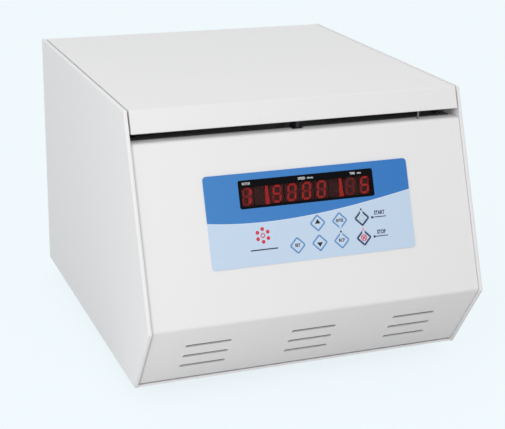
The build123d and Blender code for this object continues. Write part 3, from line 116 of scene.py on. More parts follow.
# Angles at which triangles count as one flat face, an edge is shaded sharp, and an edge is
# rounded by the paint
FLAT_ANGLE = math.radians(0.4)
SHARP_ANGLE = math.radians(28)
ROUNDED_ANGLE = math.radians(35)

# In metres: how near the corners of CAD triangles, and of meshes made here, count as one,
# and how deep the front face of a node on the panel may be
WELD = 1e-6
FINE_WELD = 1e-7
FACE_DEPTH = 0.0001

# Radii in metres that edges of turned metal, plastic and the window get
TURNED_ROUND = 0.00045
PLASTIC_ROUND = 0.0003
WINDOW_ROUND = 0.00015


def overlay_frame():
    """Place and turn of the printed panel: X across, Y up the slope, Z outwards."""
    size = OVERLAY_HIGH - OVERLAY_LOW
    rise, run = UP_SLOPE.z, UP_SLOPE.y
    sheet = (size.y * rise - size.z * run) / (rise * rise - run * run)
    top = Vector((0, OVERLAY_HIGH.y - sheet * rise, OVERLAY_HIGH.z))
    origin = top + UP_SLOPE * OVERLAY_TOP * MM
    turn = Matrix((Vector((1, 0, 0)), UP_SLOPE, OUTWARD)).transposed().to_4x4()
    return Matrix.Translation(origin) @ turn


PANEL = overlay_frame()


def face_box(name):
    """Least and greatest across and down, in millimetres, of a node's face on the panel."""
    inverse = PANEL.inverted()
    points = [inverse @ vert.co for vert in NODES[name].data.vertices]
    front = max(point.z for point in points)
    face = [point for point in points if point.z > front - FACE_DEPTH]
    across = [point.x / MM for point in face]
    down = [-point.y / MM for point in face]
    return min(across), max(across), min(down), max(down)


def face_middle(name):
    """Middle of a node's face on the panel: across and down, in millimetres."""
    left, right, top, bottom = face_box(name)
    return (left + right) / 2, (top + bottom) / 2


KEY_PLACES = {name: face_middle(name) for name in KEYS}
WINDOW = face_box("display_window")


def on_panel(across, down, lift=0.0):
    """Matrix that puts a shape drawn in millimetres on the printed panel."""
    return PANEL @ Matrix.Translation((across * MM, -down * MM, lift * MM)) @ Matrix.Scale(MM, 4)


def colour(name, description, default):
    """A colour that can be set."""
    return bpy.props.FloatVectorProperty(
        name=name, description=description, default=default, subtype="COLOR", min=0.0, max=1.0
    )


def number(name, description, default, low, high, unit="NONE"):
    """A number that can be set between low and high."""
    return bpy.props.FloatProperty(
        name=name, description=description, default=default, min=low, max=high, unit=unit
    )


class CentrifugeColours(bpy.types.PropertyGroup):
    """Colours of the instrument."""

    shell: colour(
        "Shell paint", "Powder coat of the housing and the lid", (0.820, 0.822, 0.834)
    )
    overlay_blue: colour(
        "Panel blue", "Upper field of the printed panel", (0.036, 0.192, 0.55)
    )
    # Painted sheen: the paler blue that the panel's left end takes, standing in for a broad
    # reflection there
    overlay_sheen_blue: colour(
        "Panel blue, left end", "The blue field where the print is palest", (0.060, 0.230, 0.57)
    )
    overlay_pale: colour(
        "Panel pale blue", "Lower field of the printed panel", (0.560, 0.695, 0.865)
    )
    outline_blue: colour("Key outline", "Outline of the setting keys", (0.085, 0.27, 0.60))
    outline_navy: colour(
        "Start and stop outline", "Outline of the start and stop keys", (0.012, 0.025, 0.10)
    )
    numeral_red: colour("Numeral red", "Light of the display", (1.0, 0.030, 0.028))


class CentrifugeSizes(bpy.types.PropertyGroup):
    """Sizes of what is printed on and screwed to the instrument."""

    ink: number("Ink thickness", "Height of printed marks in millimetres", 0.03, 0.005, 0.2)
    outline: number(
        "Outline width", "Width of the diamond outlines in millimetres", 0.95, 0.2, 2.0
    )
    bold_outline: number(
        "Bold outline width", "Width of the start and stop outlines in millimetres",
        1.35, 0.2, 2.5,
    )
    numeral_height: number(
        "Numeral height", "Height of a seven-segment numeral in millimetres", 14.5, 5.0, 19.0
    )
    numeral_width: number(
        "Numeral width", "Width of a seven-segment numeral in millimetres", 8.0, 3.0, 12.0
    )
    segment: number("Segment width", "Width of one segment in millimetres", 1.8, 0.5, 3.0)
    screw_radius: number(
        "Screw head radius", "Radius of the pan heads in millimetres", 3.2, 1.0, 6.0
    )
    screw_height: number(
        "Screw head height", "Height of the pan heads in millimetres", 1.4, 0.5, 4.0
    )
    edge_round: number(
        "Edge rounding", "Radius that the paint gives to sheet edges",
        0.0003, 0.0, 0.002, "LENGTH",
    )


class CentrifugeStage(bpy.types.PropertyGroup):
    """Camera and light."""

    lens: number("Lens", "Focal length in millimetres", 92.589, 10.0, 300.0)
    ambient: number("Ambient", "Strength of the light from all round", 0.83, 0.0, 3.0)
    key_power: number(
        "Key light", "Power of the large lamp at the front left", 3.6, 0.0, 500.0
    )
    overhead: colour(
        "Overhead tint", "Colour of the ambient light straight from above", (0.92, 0.88, 0.835)
    )
    leftward: number(
        "Light from the left", "Strength of the ambient light straight from the left",
        1.22, 0.0, 3.0,
    )
    floor: colour(
        "Floor", "Colour in which the floor and the backdrop are seen", (0.89, 0.965, 1.0)
    )


class Field:
    """An output socket of a node tree that takes part in Python expressions."""

    def __init__(self, tree, socket):
        self.tree = tree
        self.socket = socket

    def maths(self, operation, *values, clamp=False):
        """A Math node on fields and numbers."""
        settings = {"operation": operation, "use_clamp": clamp}
        return add_node(self.tree, "ShaderNodeMath", settings, dict(enumerate(values)))

    def __add__(self, other):
        return self.maths("ADD", self, other)

    __radd__ = __add__

    def __sub__(self, other):
        return self.maths("SUBTRACT", self, other)

    def __rsub__(self, other):
        return self.maths("SUBTRACT", other, self)

    def __mul__(self, other):
        return self.maths("MULTIPLY", self, other)

    __rmul__ = __mul__

    def __truediv__(self, other):
        return self.maths("DIVIDE", self, other)

    def sine(self):
        return self.maths("SINE", self)

    def size(self):
        return self.maths("ABSOLUTE", self)

    def root(self):
        return self.maths("SQRT", self)

    def over(self, edge, soft):
        """0 below edge and 1 above it, over a soft width."""
        return self.maths("DIVIDE", self - edge, soft, clamp=True)

    def most(self, other):
        return self.maths("MAXIMUM", self, other)


def plug(tree, socket, value):
    """Link a field, or set a plain value, on a socket."""
    if isinstance(value, Field):
        tree.links.new(value.socket, socket)
    else:
        socket.default_value = value


def add_node(tree, kind, settings=None, sockets=None, out=0):
    """Add a node with its settings, then the values or links of its sockets."""
    node = tree.nodes.new(kind)
    for key, value in (settings or {}).items():
        setattr(node, key, value)
    for key, value in (sockets or {}).items():
        plug(tree, node.inputs[key], value)
    return Field(tree, node.outputs[out]) if len(node.outputs) else None


def split_axes(tree, vector):
    """X, Y and Z of a vector field."""
    first = add_node(tree, "ShaderNodeSeparateXYZ", sockets={0: vector})
    return tuple(Field(tree, output) for output in first.socket.node.outputs)


def mix_colours(tree, factor, low, high):
    """Mix of two colours, each of them a field or three numbers."""
    low, high = (part if isinstance(part, Field) else (*part, 1.0) for part in (low, high))
    settings = {"data_type": "RGBA"}
    return add_node(tree, "ShaderNodeMix", settings, {0: factor, 6: low, 7: high}, out=2)


def seen(tree):
    """1 for what is looked at, straight or in metal or glass, and 0 for what only lights."""
    rays = add_node(tree, "ShaderNodeLightPath", out="Is Camera Ray")
    outputs = rays.socket.node.outputs
    for name in ("Is Glossy Ray", "Is Transmission Ray"):
        rays = rays.most(Field(tree, outputs[name]))
    return rays


class Finish:
    """One material, built node by node round a Principled shader."""

    def __init__(self, name, colour, roughness, metallic=0.0):
        self.material = bpy.data.materials.new(name)
        self.material.use_nodes = True
        self.tree = self.material.node_tree
        self.shader = self.tree.nodes["Principled BSDF"]
        self.put("Base Color", (*colour, 1.0))
        self.put("Roughness", roughness)
        self.put("Metallic", metallic)
        self.colour = colour

    def add(self, kind, settings=None, sockets=None, out=0):
        """Add a node to the material."""
        return add_node(self.tree, kind, settings, sockets, out)

    def put(self, socket, value):
        """Link or set a socket of the shader."""
        plug(self.tree, self.shader.inputs[socket], value)

    def place(self):
        """The place on the piece, in metres."""
        return self.add("ShaderNodeTexCoord", out="Object")

    def axes(self):
        """X, Y and Z of the place as fields, in metres."""
        return split_axes(self.tree, self.place())

    def vector(self, x, y, z):
        """Three fields or numbers as one vector."""
        return self.add("ShaderNodeCombineXYZ", sockets={0: x, 1: y, 2: z})

    def noise(self, size, detail=2.0, where=None):
        """Even noise, 0 to 1, whose lumps are about size metres wide."""
        return self.add(
            "ShaderNodeTexNoise",
            {"noise_dimensions": "3D"},
            {"Vector": where or self.place(), "Scale": 1.0 / size, "Detail": detail},
        )

    def blend(self, factor, low, high):
        """Mix of two colours."""
        return mix_colours(self.tree, factor, low, high)

    def shade(self, factor, amount):
        """The finish's own colour, darker and lighter by a share."""
        low = tuple(part * (1.0 - amount) for part in self.colour)
        high = tuple(min(1.0, part * (1.0 + amount)) for part in self.colour)
        return self.blend(factor, low, high)

    def dress(self, colour, roughness, height, depth, strength):
        """Colour, roughness and relief, its depth in metres; returns the material."""
        relief = {"Height": height, "Distance": depth, "Strength": strength}
        self.put("Base Color", colour)
        self.put("Roughness", roughness)
        self.put("Normal", self.add("ShaderNodeBump", sockets=relief))
        return self.material


def painted_corner_shade(finish, corner):
    """Painted shade in the corner at that X, in metres: a little on the slope, more under its
    bend.
    """
    x, _, z = finish.axes()
    near = 1.0 - x.over(corner + CORNER_SHADE_START, CORNER_SHADE_FADE)
    low = 1.0 - z.over(CORNER_SHADE_BEND, CORNER_SHADE_BEND_FADE)
    return near * (CORNER_SHADE_SHARE + low * CORNER_SHADE_ADDED_LOW)


def powder_coat(name, colour, grain=0.0011, corner=None):
    """Sprayed and baked paint: fine orange peel, slow drifts of tone, painted shade in a corner.
    """
    finish = Finish(name, colour, 0.45)
    peel = finish.noise(grain)
    speck = finish.noise(grain * 0.35, 1.0)
    drift = finish.noise(0.09)
    tone = finish.shade(drift * 0.7 + peel * 0.3, 0.012)
    # Painted shade: the paint darkens beside the corner, where shade falls in the recess
    if corner is not None:
        tone = finish.blend(painted_corner_shade(finish, corner), tone, CORNER_SHADE_COLOUR)
    finish.put("Specular IOR Level", 0.42)
    satin = 0.40 + peel * 0.08 + drift * 0.04
    return finish.dress(tone, satin, peel * 0.75 + speck * 0.25, 0.00005, 0.35)


def turned_metal(name, colour, centre_y, roughness, pitch):
    """Metal turned on a lathe round the upright axis at centre_y: rings round it."""
    finish = Finish(name, colour, roughness, 1.0)
    x, y, z = finish.axes()
    reach = (x * x + (y - centre_y) * (y - centre_y)).root()
    groove = ((reach + z) * (2 * math.pi / pitch)).sine()
    scratch = finish.noise(1.0, 3.0, finish.vector(reach * 2600, 0.0, z * 2600))
    smear = finish.noise(0.03)
    tone = finish.shade(scratch, 0.06)
    polish = roughness - 0.08 + scratch * 0.14 + smear * 0.05
    return finish.dress(tone, polish, groove * 0.3 + scratch, 0.00002, 0.5)


def brushed_metal(name, colour, roughness, direction=(60, 2600, 2600)):
    """Metal with fine straight scratches."""
    finish = Finish(name, colour, roughness, 1.0)
    x, y, z = finish.axes()
    grain = finish.vector(x * direction[0], y * direction[1], z * direction[2])
    scratch = finish.noise(1.0, 3.0, grain)
    cloud = finish.noise(0.015)
    tone = finish.shade(scratch * 0.6 + cloud * 0.4, 0.07)
    polish = roughness - 0.08 + scratch * 0.12 + cloud * 0.06
    return finish.dress(tone, polish, scratch, 0.00002, 0.4)


def zinc_plate(name, colour):
    """Plating on screws and brackets: small spangles."""
    finish = Finish(name, colour, 0.3, 1.0)
    spangle = finish.add(
        "ShaderNodeTexVoronoi", {"feature": "F1"}, {"Vector": finish.place(), "Scale": 900.0}
    )
    cloud = finish.noise(0.004)
    tone = finish.shade(spangle * 0.5 + cloud * 0.5, 0.10)
    return finish.dress(tone, 0.22 + cloud * 0.2, cloud, 0.00002, 0.3)


def moulded(name, colour, roughness, grain=0.0004, depth=0.00003, coat=0.0):
    """Moulded plastic with a spark-eroded skin."""
    finish = Finish(name, colour, roughness)
    skin = finish.noise(grain)
    flow = finish.noise(0.03)
    finish.put("Coat Weight", coat)
    tone = finish.shade(flow * 0.8 + skin * 0.2, 0.05)
    return finish.dress(tone, roughness - 0.05 + skin * 0.1, skin, depth, 0.4)


def rubber(name, colour):
    """Moulded rubber: matt, a little dusty in patches."""
    finish = Finish(name, colour, 0.75)
    pore = finish.noise(0.0007, 3.0)
    dust = finish.noise(0.012)
    tone = finish.blend(dust * 0.35, colour, (0.11, 0.11, 0.105))
    return finish.dress(tone, 0.66 + pore * 0.2, pore, 0.00006, 0.5)


def ink(name, colour):
    """Screen-printed ink: pinholes and a faint weave of the screen."""
    finish = Finish(name, colour, 0.5)
    mesh = finish.noise(0.0003, 1.0)
    return finish.dress(finish.shade(mesh, 0.06), 0.45 + mesh * 0.1, mesh, 0.00001, 0.3)


def glow(name, colour, strength, body=0.02):
    """Lit segment: its light falls off a little from lump to lump."""
    finish = Finish(name, (body, body * 0.3, body * 0.3), 0.4)
    cell = finish.noise(0.0016, 1.0)
    finish.put("Base Color", finish.shade(cell, 0.1))
    low = tuple(part * 0.88 for part in colour)
    finish.put("Emission Color", finish.blend(cell, low, colour))
    finish.put("Emission Strength", strength)
    return finish.material


def panel_fields(finish):
    """Across and down the printed panel as fields, in millimetres."""
    x, y, z = finish.axes()
    start = PANEL.translation
    across = x * TO_MM
    up = (y - start.y) * (UP_SLOPE.y * TO_MM) + (z - start.z) * (UP_SLOPE.z * TO_MM)
    return across, 0.0 - up


def overlay_film(name, colours):
    """Printed film: blue above a long wave, pale blue below it, a painted highlight along the
    wave, and a painted sheen that pales the blue towards the left end.
    """
    finish = Finish(name, tuple(colours.overlay_pale), 0.42)
    across, down = panel_fields(finish)
    share = across / WAVE_HALF_WIDTH
    wave = ((share * WAVE[3] + WAVE[2]) * share + WAVE[1]) * share + WAVE[0]
    below = (down - wave).over(-WAVE_BLUR / 2, WAVE_BLUR)
    # Painted highlight: a pale line along the wave
    line = 1.0 - (down - wave - HIGHLIGHT_DROP).size().over(HIGHLIGHT_HALF_WIDTH, HIGHLIGHT_BLUR)
    fade = finish.noise(0.05)
    pale = tuple(colours.overlay_pale)
    blue = tuple(colours.overlay_blue)
    washed = finish.blend(fade, tuple(part * 0.97 for part in pale), pale)
    # Painted sheen: the blue grows paler towards the left end
    leftward = 1.0 - across.over(-WAVE_HALF_WIDTH, 2 * WAVE_HALF_WIDTH)
    deep = finish.blend(leftward * 0.9 + fade * 0.1, blue, tuple(colours.overlay_sheen_blue))
    field = finish.blend(below, deep, washed)
    skin = finish.noise(0.00035)
    finish.put("Specular IOR Level", 0.2)
    # The painted highlight is mixed into the film's colour here
    tone = finish.blend(line * 0.3, field, (0.82, 0.88, 0.94))
    return finish.dress(tone, 0.36 + skin * 0.12, skin, 0.00002, 0.35)


def tinted_window(name):
    """Dark red window with a black printed border that hides the display's edges."""
    finish = Finish(name, (0.012, 0.004, 0.004), 0.12)
    across, down = panel_fields(finish)
    left, right, top, bottom = WINDOW
    half = (right - left) / 2
    border = (
        (across - (left + right) / 2).size().over(half - BORDER_SIDE, BORDER_BLUR)
        .most(1.0 - down.over(top + BORDER_TOP, BORDER_BLUR))
        .most(down.over(bottom - BORDER_BOTTOM, BORDER_BLUR))
    )
    smudge = finish.noise(0.02, 3.0)
    finish.put("Base Color", finish.blend(border, (0.030, 0.006, 0.006), (0.003, 0.003, 0.004)))
    finish.put("Alpha", WINDOW_TINT + border * (1.0 - WINDOW_TINT))
    finish.put("Roughness", 0.10 + smudge * 0.1)
    finish.put("Specular IOR Level", 0.05)
    return finish.material


def stand(name, data):
    """Put a new object in the scene."""
    thing = bpy.data.objects.new(name, data)
    bpy.context.scene.collection.objects.link(thing)
    return thing


def settle(thing, *helpers):
    """The mesh that an object comes to; it and its helpers leave the scene."""
    depsgraph = bpy.context.evaluated_depsgraph_get()
    mesh = bpy.data.meshes.new_from_object(thing.evaluated_get(depsgraph))
    for spent in (thing, *helpers):
        bpy.data.objects.remove(spent)
    return mesh


def new_piece(name, mesh, material, body):
    """Put a finished mesh in the scene, on a body."""
    piece = stand(name, mesh)
    mesh.materials.clear()
    mesh.materials.append(material)
    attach(piece, body)
    return piece


def mesh_from(builder, name):
    """Turn a bmesh into a mesh with outward faces."""
    bmesh.ops.remove_doubles(builder, verts=builder.verts, dist=FINE_WELD)
    bmesh.ops.recalc_face_normals(builder, faces=builder.faces)
    mesh = bpy.data.meshes.new(name)
    builder.to_mesh(mesh)
    builder.free()
    return mesh


def built_piece(name, builder, material, body):
    """Put what a bmesh holds in the scene, on a body."""
    return new_piece(name, mesh_from(builder, name), material, body)


def band(low, high):
    """The four-sided stretches between two closed rows of points or corners."""
    for place in range(len(low)):
        after = (place + 1) % len(low)
        yield low[place], low[after], high[after], high[place]


def add_plate(builder, outline, thickness, matrix):
    """Add a flat plate: an outline in millimetres, extruded upwards and placed."""
    low = [builder.verts.new(matrix @ Vector((x, y, 0.0))) for x, y in outline]
    high = [builder.verts.new(matrix @ Vector((x, y, thickness))) for x, y in outline]
    builder.faces.new(low[::-1])
    builder.faces.new(high)
    for side in band(low, high):
        builder.faces.new(side)


def rounded_diamond(half, corner):
    """Points round a diamond with rounded corners, from the right-hand corner."""
    points = []
    centre = half - corner * math.sqrt(2)
    for quarter in range(4):
        heading = math.radians(90 * quarter)
        hub = Vector((math.cos(heading), math.sin(heading))) * centre
        for step in range(CORNER_STEPS + 1):
            turn = heading + math.radians(-45 + 90 * step / CORNER_STEPS)
            points.append((hub.x + corner * math.cos(turn), hub.y + corner * math.sin(turn)))
    return points


def add_outline(builder, half, corner, width, thickness, matrix, gap_at=None, gap=0.0):
    """Add a diamond outline; gap_at is +1 or -1 for an opening at the top or bottom."""
    inner_corner = max(LEAST_CORNER, corner - width)
    inner = rounded_diamond(half - width * math.sqrt(2), inner_corner)
    for ends in band(rounded_diamond(half, corner), inner):
        if gap_at is not None:
            ends = trim_gap(ends, gap_at, gap)
        if ends:
            add_plate(builder, ends, thickness, matrix)


def trim_gap(ends, side, gap):
    """Shorten or drop a stretch of outline so that it stays out of a gap on one side."""
    if all(y * side <= 0 for x, y in ends):
        return ends
    if all(abs(x) < gap for x, y in ends):
        return None
    left = sum(x for x, y in ends) < 0
    kept = []
    for (x0, y0), (x1, y1) in zip(ends, ends[1:] + ends[:1]):
        inside0 = (-x0 if left else x0) >= gap
        inside1 = (-x1 if left else x1) >= gap
        if inside0:
            kept.append((x0, y0))
        if inside0 != inside1:
            limit = -gap if left else gap
            share = (limit - x0) / (x1 - x0)
            kept.append((limit, y0 + (y1 - y0) * share))
    return kept


def disc(radius, steps, centre=(0.0, 0.0)):
    """Points round a circle."""
    turns = [2 * math.pi * step / steps for step in range(steps)]
    return [(centre[0] + radius * math.cos(t), centre[1] + radius * math.sin(t)) for t in turns]


def add_ring(builder, outer, inner, thickness, matrix):
    """Add a flat ring as a chain of small plates."""
    for plate in band(disc(outer, RING_STEPS), disc(inner, RING_STEPS)):
        add_plate(builder, plate, thickness, matrix)


def add_bar(builder, start, end, width, thickness, matrix):
    """Add a straight bar from start to end."""
    start, end = Vector(start), Vector(end)
    along = end - start
    side = Vector((-along.y, along.x)).normalized() * width / 2
    add_plate(builder, [start - side, end - side, end + side, start + side], thickness, matrix)


def add_word(builder, text, height, thickness, matrix, weight=0.0, stretch=1.0):
    """Add a word with capitals height millimetres high, placed by a matrix."""
    curve = bpy.data.curves.new("word", "FONT")
    curve.body = text
    curve.align_x = "CENTER"
    curve.align_y = "CENTER"
    curve.size = height / CAPITAL_SHARE
    curve.offset = weight
    curve.extrude = thickness / 2
    curve.resolution_u = 3
    mesh = settle(stand("word", curve))
    bpy.data.curves.remove(curve)
    shift = Matrix.Translation((0, 0, thickness / 2)) @ Matrix.Diagonal((stretch, 1, 1, 1))
    mesh.transform(matrix @ shift)
    builder.from_mesh(mesh)
    bpy.data.meshes.remove(mesh)


def paint(names, material):
    """Give CAD nodes a finish."""
    for name in names:
        node = NODES[name]
        if not node.material_slots:
            node.data.materials.append(material)
        for holder in node.material_slots:
            holder.material = material


def geometry_tree(name, inputs):
    """A geometry tree with named inputs, what adds nodes to it, and its inputs' fields."""
    tree = bpy.data.node_groups.new(name, "GeometryNodeTree")
    new_socket = tree.interface.new_socket
    new_socket("Geometry", in_out="INPUT", socket_type="NodeSocketGeometry")
    for label, (kind, default) in inputs.items():
        socket = new_socket(label, in_out="INPUT", socket_type="NodeSocket" + kind)
        if default is not None:
            socket.default_value = default
    new_socket("Geometry", in_out="OUTPUT", socket_type="NodeSocketGeometry")
    outputs = add_node(tree, "NodeGroupInput").socket.node.outputs
    fields = {label: Field(tree, outputs[label]) for label in ("Geometry", *inputs)}
    return tree, functools.partial(add_node, tree), fields


def smooth_edges_tree():
    """Geometry tree that welds a node's triangles and shades all but its sharp edges."""
    _, add, given = geometry_tree("smooth edges", {"Sharp angle": ("Float", SHARP_ANGLE)})
    weld = add(
        "GeometryNodeMergeByDistance",
        sockets={"Geometry": given["Geometry"], "Distance": WELD},
    )
    angle = add("GeometryNodeInputMeshEdgeAngle", out="Unsigned Angle")
    sharp = add(
        "FunctionNodeCompare", {"operation": "GREATER_THAN"}, {0: angle, 1: given["Sharp angle"]}
    )
    soft = add("GeometryNodeSetShadeSmooth", sockets={"Geometry": weld})
    hard = add(
        "GeometryNodeSetShadeSmooth",
        {"domain": "EDGE"},
        {"Geometry": soft, "Selection": sharp, "Shade Smooth": False},
    )
    add("NodeGroupOutput", sockets={0: hard})


def soften(names, width=0.0):
    """Weld and smooth nodes, and round their sharp edges by a small width."""
    tree = bpy.data.node_groups["smooth edges"]
    for name in names:
        node = NODES[name]
        weld = node.modifiers.new("smooth edges", "NODES")
        weld.node_group = tree
        if width > 0.0:
            flat = node.modifiers.new("flat faces", "DECIMATE")
            flat.decimate_type = "DISSOLVE"
            flat.angle_limit = FLAT_ANGLE
            bevel = node.modifiers.new("paint radius", "BEVEL")
            bevel.width = width
            bevel.segments = 2
            bevel.limit_method = "ANGLE"
            bevel.angle_limit = ROUNDED_ANGLE
            bevel.harden_normals = True


def pan_head(radius, height):
    """A pan-head screw head with a cross recess, in millimetres, standing on Z = 0."""
    builder = bmesh.new()
    rings, steps = 7, 20
    flat_top, upright_side = 0.55, 0.35
    foot = [builder.verts.new((*point, 0.0)) for point in disc(radius, steps)]
    loops = [foot]
    for ring in range(rings):
        turn = math.radians(90 * ring / (rings - 1))
        reach = radius * (flat_top + (1 - flat_top) * math.cos(turn))
        rise = height * (upright_side + (1 - upright_side) * math.sin(turn))
        loops.append([builder.verts.new((*point, rise)) for point in disc(reach, steps)])
    for low, high in zip(loops, loops[1:]):
        for side in band(low, high):
            builder.faces.new(side)
    builder.faces.new(foot[::-1])
    builder.faces.new(loops[-1])
    cutter = bmesh.new()
    reach, half, floor = radius * 0.48, radius * 0.12, height * 0.4
    arm = [(reach, -half), (reach, half), (half, half)]
    cross = []
    for _ in range(4):
        cross += arm
        arm = [(-y, x) for x, y in arm]
    add_plate(cutter, cross, height, Matrix.Translation((0, 0, floor)))
    blank = stand("pan head", mesh_from(builder, "pan head"))
    tool = stand("cross", mesh_from(cutter, "cross"))
    cut = blank.modifiers.new("cross", "BOOLEAN")
    cut.object = tool
    cut.solver = "EXACT"
    return settle(blank, tool)


def repeat_tree():
    """Geometry tree that puts a shape on points, each turned to its own facing."""
    tree, add, given = geometry_tree("repeat on points", {
        "Shape": ("Object", None),
        "Size": ("Float", 1.0),
        "Finish": ("Material", None),
        "Seed": ("Int", 3),
    })
    shape = add("GeometryNodeObjectInfo", sockets={"Object": given["Shape"]}, out="Geometry")
    facing = add(
        "GeometryNodeInputNamedAttribute",
        {"data_type": "FLOAT_VECTOR"},
        {"Name": "facing"},
        out="Attribute",
    )
    align = add("FunctionNodeAlignRotationToVector", {"axis": "Z"}, {"Vector": facing})
    spin = add(
        "FunctionNodeRandomValue",
        {"data_type": "FLOAT"},
        {"Max": math.pi, "Seed": given["Seed"]},
        out="Value",
    )
    turn = add("FunctionNodeAxisAngleToRotation", sockets={"Angle": spin})
    both = add(
        "FunctionNodeRotateRotation",
        {"rotation_space": "LOCAL"},
        {"Rotation": align, "Rotate By": turn},
    )
    stood = {"Points": given["Geometry"], "Instance": shape, "Rotation": both}
    place = add("GeometryNodeInstanceOnPoints", sockets={**stood, "Scale": given["Size"]})
    real = add("GeometryNodeRealizeInstances", sockets={"Geometry": place})
    dressed = add(
        "GeometryNodeSetMaterial", sockets={"Geometry": real, "Material": given["Finish"]}
    )
    add("NodeGroupOutput", sockets={0: dressed})
    return tree


def socket_id(tree, name):
    """Identifier of a tree's named input."""
    for item in tree.interface.items_tree:
        if item.name == name and item.in_out == "INPUT":
            return item.identifier
    raise RuntimeError("no input named " + name)


def repeat_on(name, tree, spots, shape_mesh, material, body):
    """Repeat a shape on (place, facing) spots and keep it as one plain mesh on a body."""
    points = bpy.data.meshes.new(name + " points")
    points.from_pydata([tuple(place) for place, facing in spots], [], [])
    layer = points.attributes.new("facing", "FLOAT_VECTOR", "POINT")
    for index, (place, facing) in enumerate(spots):
        layer.data[index].vector = facing
    carrier = stand(name + " points", points)
    shape = stand(name + " shape", shape_mesh)
    modifier = carrier.modifiers.new("repeat", "NODES")
    modifier.node_group = tree
    modifier[socket_id(tree, "Shape")] = shape
    modifier[socket_id(tree, "Size")] = MM
    modifier[socket_id(tree, "Finish")] = material
    mesh = settle(carrier, shape)
    mesh.name = name
    return new_piece(name, mesh, material, body)


def islands(name):
    """Boxes round the separate solids of a CAD node."""
    builder = bmesh.new()
    builder.from_mesh(NODES[name].data)
    bmesh.ops.remove_doubles(builder, verts=builder.verts, dist=WELD)
    left = set(builder.verts)
    found = []
    while left:
        stack = [left.pop()]
        group = list(stack)
        while stack:
            for edge in stack.pop().link_edges:
                for vert in edge.verts:
                    if vert in left:
                        left.remove(vert)
                        stack.append(vert)
                        group.append(vert)
        low = Vector([min(v.co[axis] for v in group) for axis in range(3)])
        high = Vector([max(v.co[axis] for v in group) for axis in range(3)])
        found.append((low, high))
    builder.free()
    found.sort(key=lambda pair: tuple(round(part, 4) for part in pair[0]))
    return found


class CENTRIFUGE_OT_housing(bpy.types.Operator):
    """Paint the sheet-metal housing and the lid"""

    bl_idname = "centrifuge.housing"
    bl_label = "Housing"

    def execute(self, context):
        shell = tuple(context.scene.centrifuge_colours.shell)
        edge_round = context.scene.centrifuge_sizes.edge_round
        outer = ["side_panel_left", "side_panel_right", "rear_panel", "lid_cover", "base_pan"]
        inner = ["deck_plate", "hinge_brackets", "hinge_arms", "lock_bracket"]
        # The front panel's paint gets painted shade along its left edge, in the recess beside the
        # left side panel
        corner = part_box("front_panel")[0][0]
        smooth_edges_tree()
        for nodes, material in (
            (outer, powder_coat("shell paint", shell)),
            (["front_panel"], powder_coat("front paint", shell, corner=corner)),
            # Partly their own colour and partly painted shade: the inside paint and the lid liner
            # are kept dark so the lid gap looks as dark as the shade in it
            (inner, powder_coat("inner paint", (0.16, 0.165, 0.17), grain=0.0013)),
            (["lid_liner"], moulded("liner plastic", (0.42, 0.42, 0.42), 0.5, 0.0009, 0.00006)),
        ):
            paint(nodes, material)
            soften(nodes, edge_round)
        return {"FINISHED"}


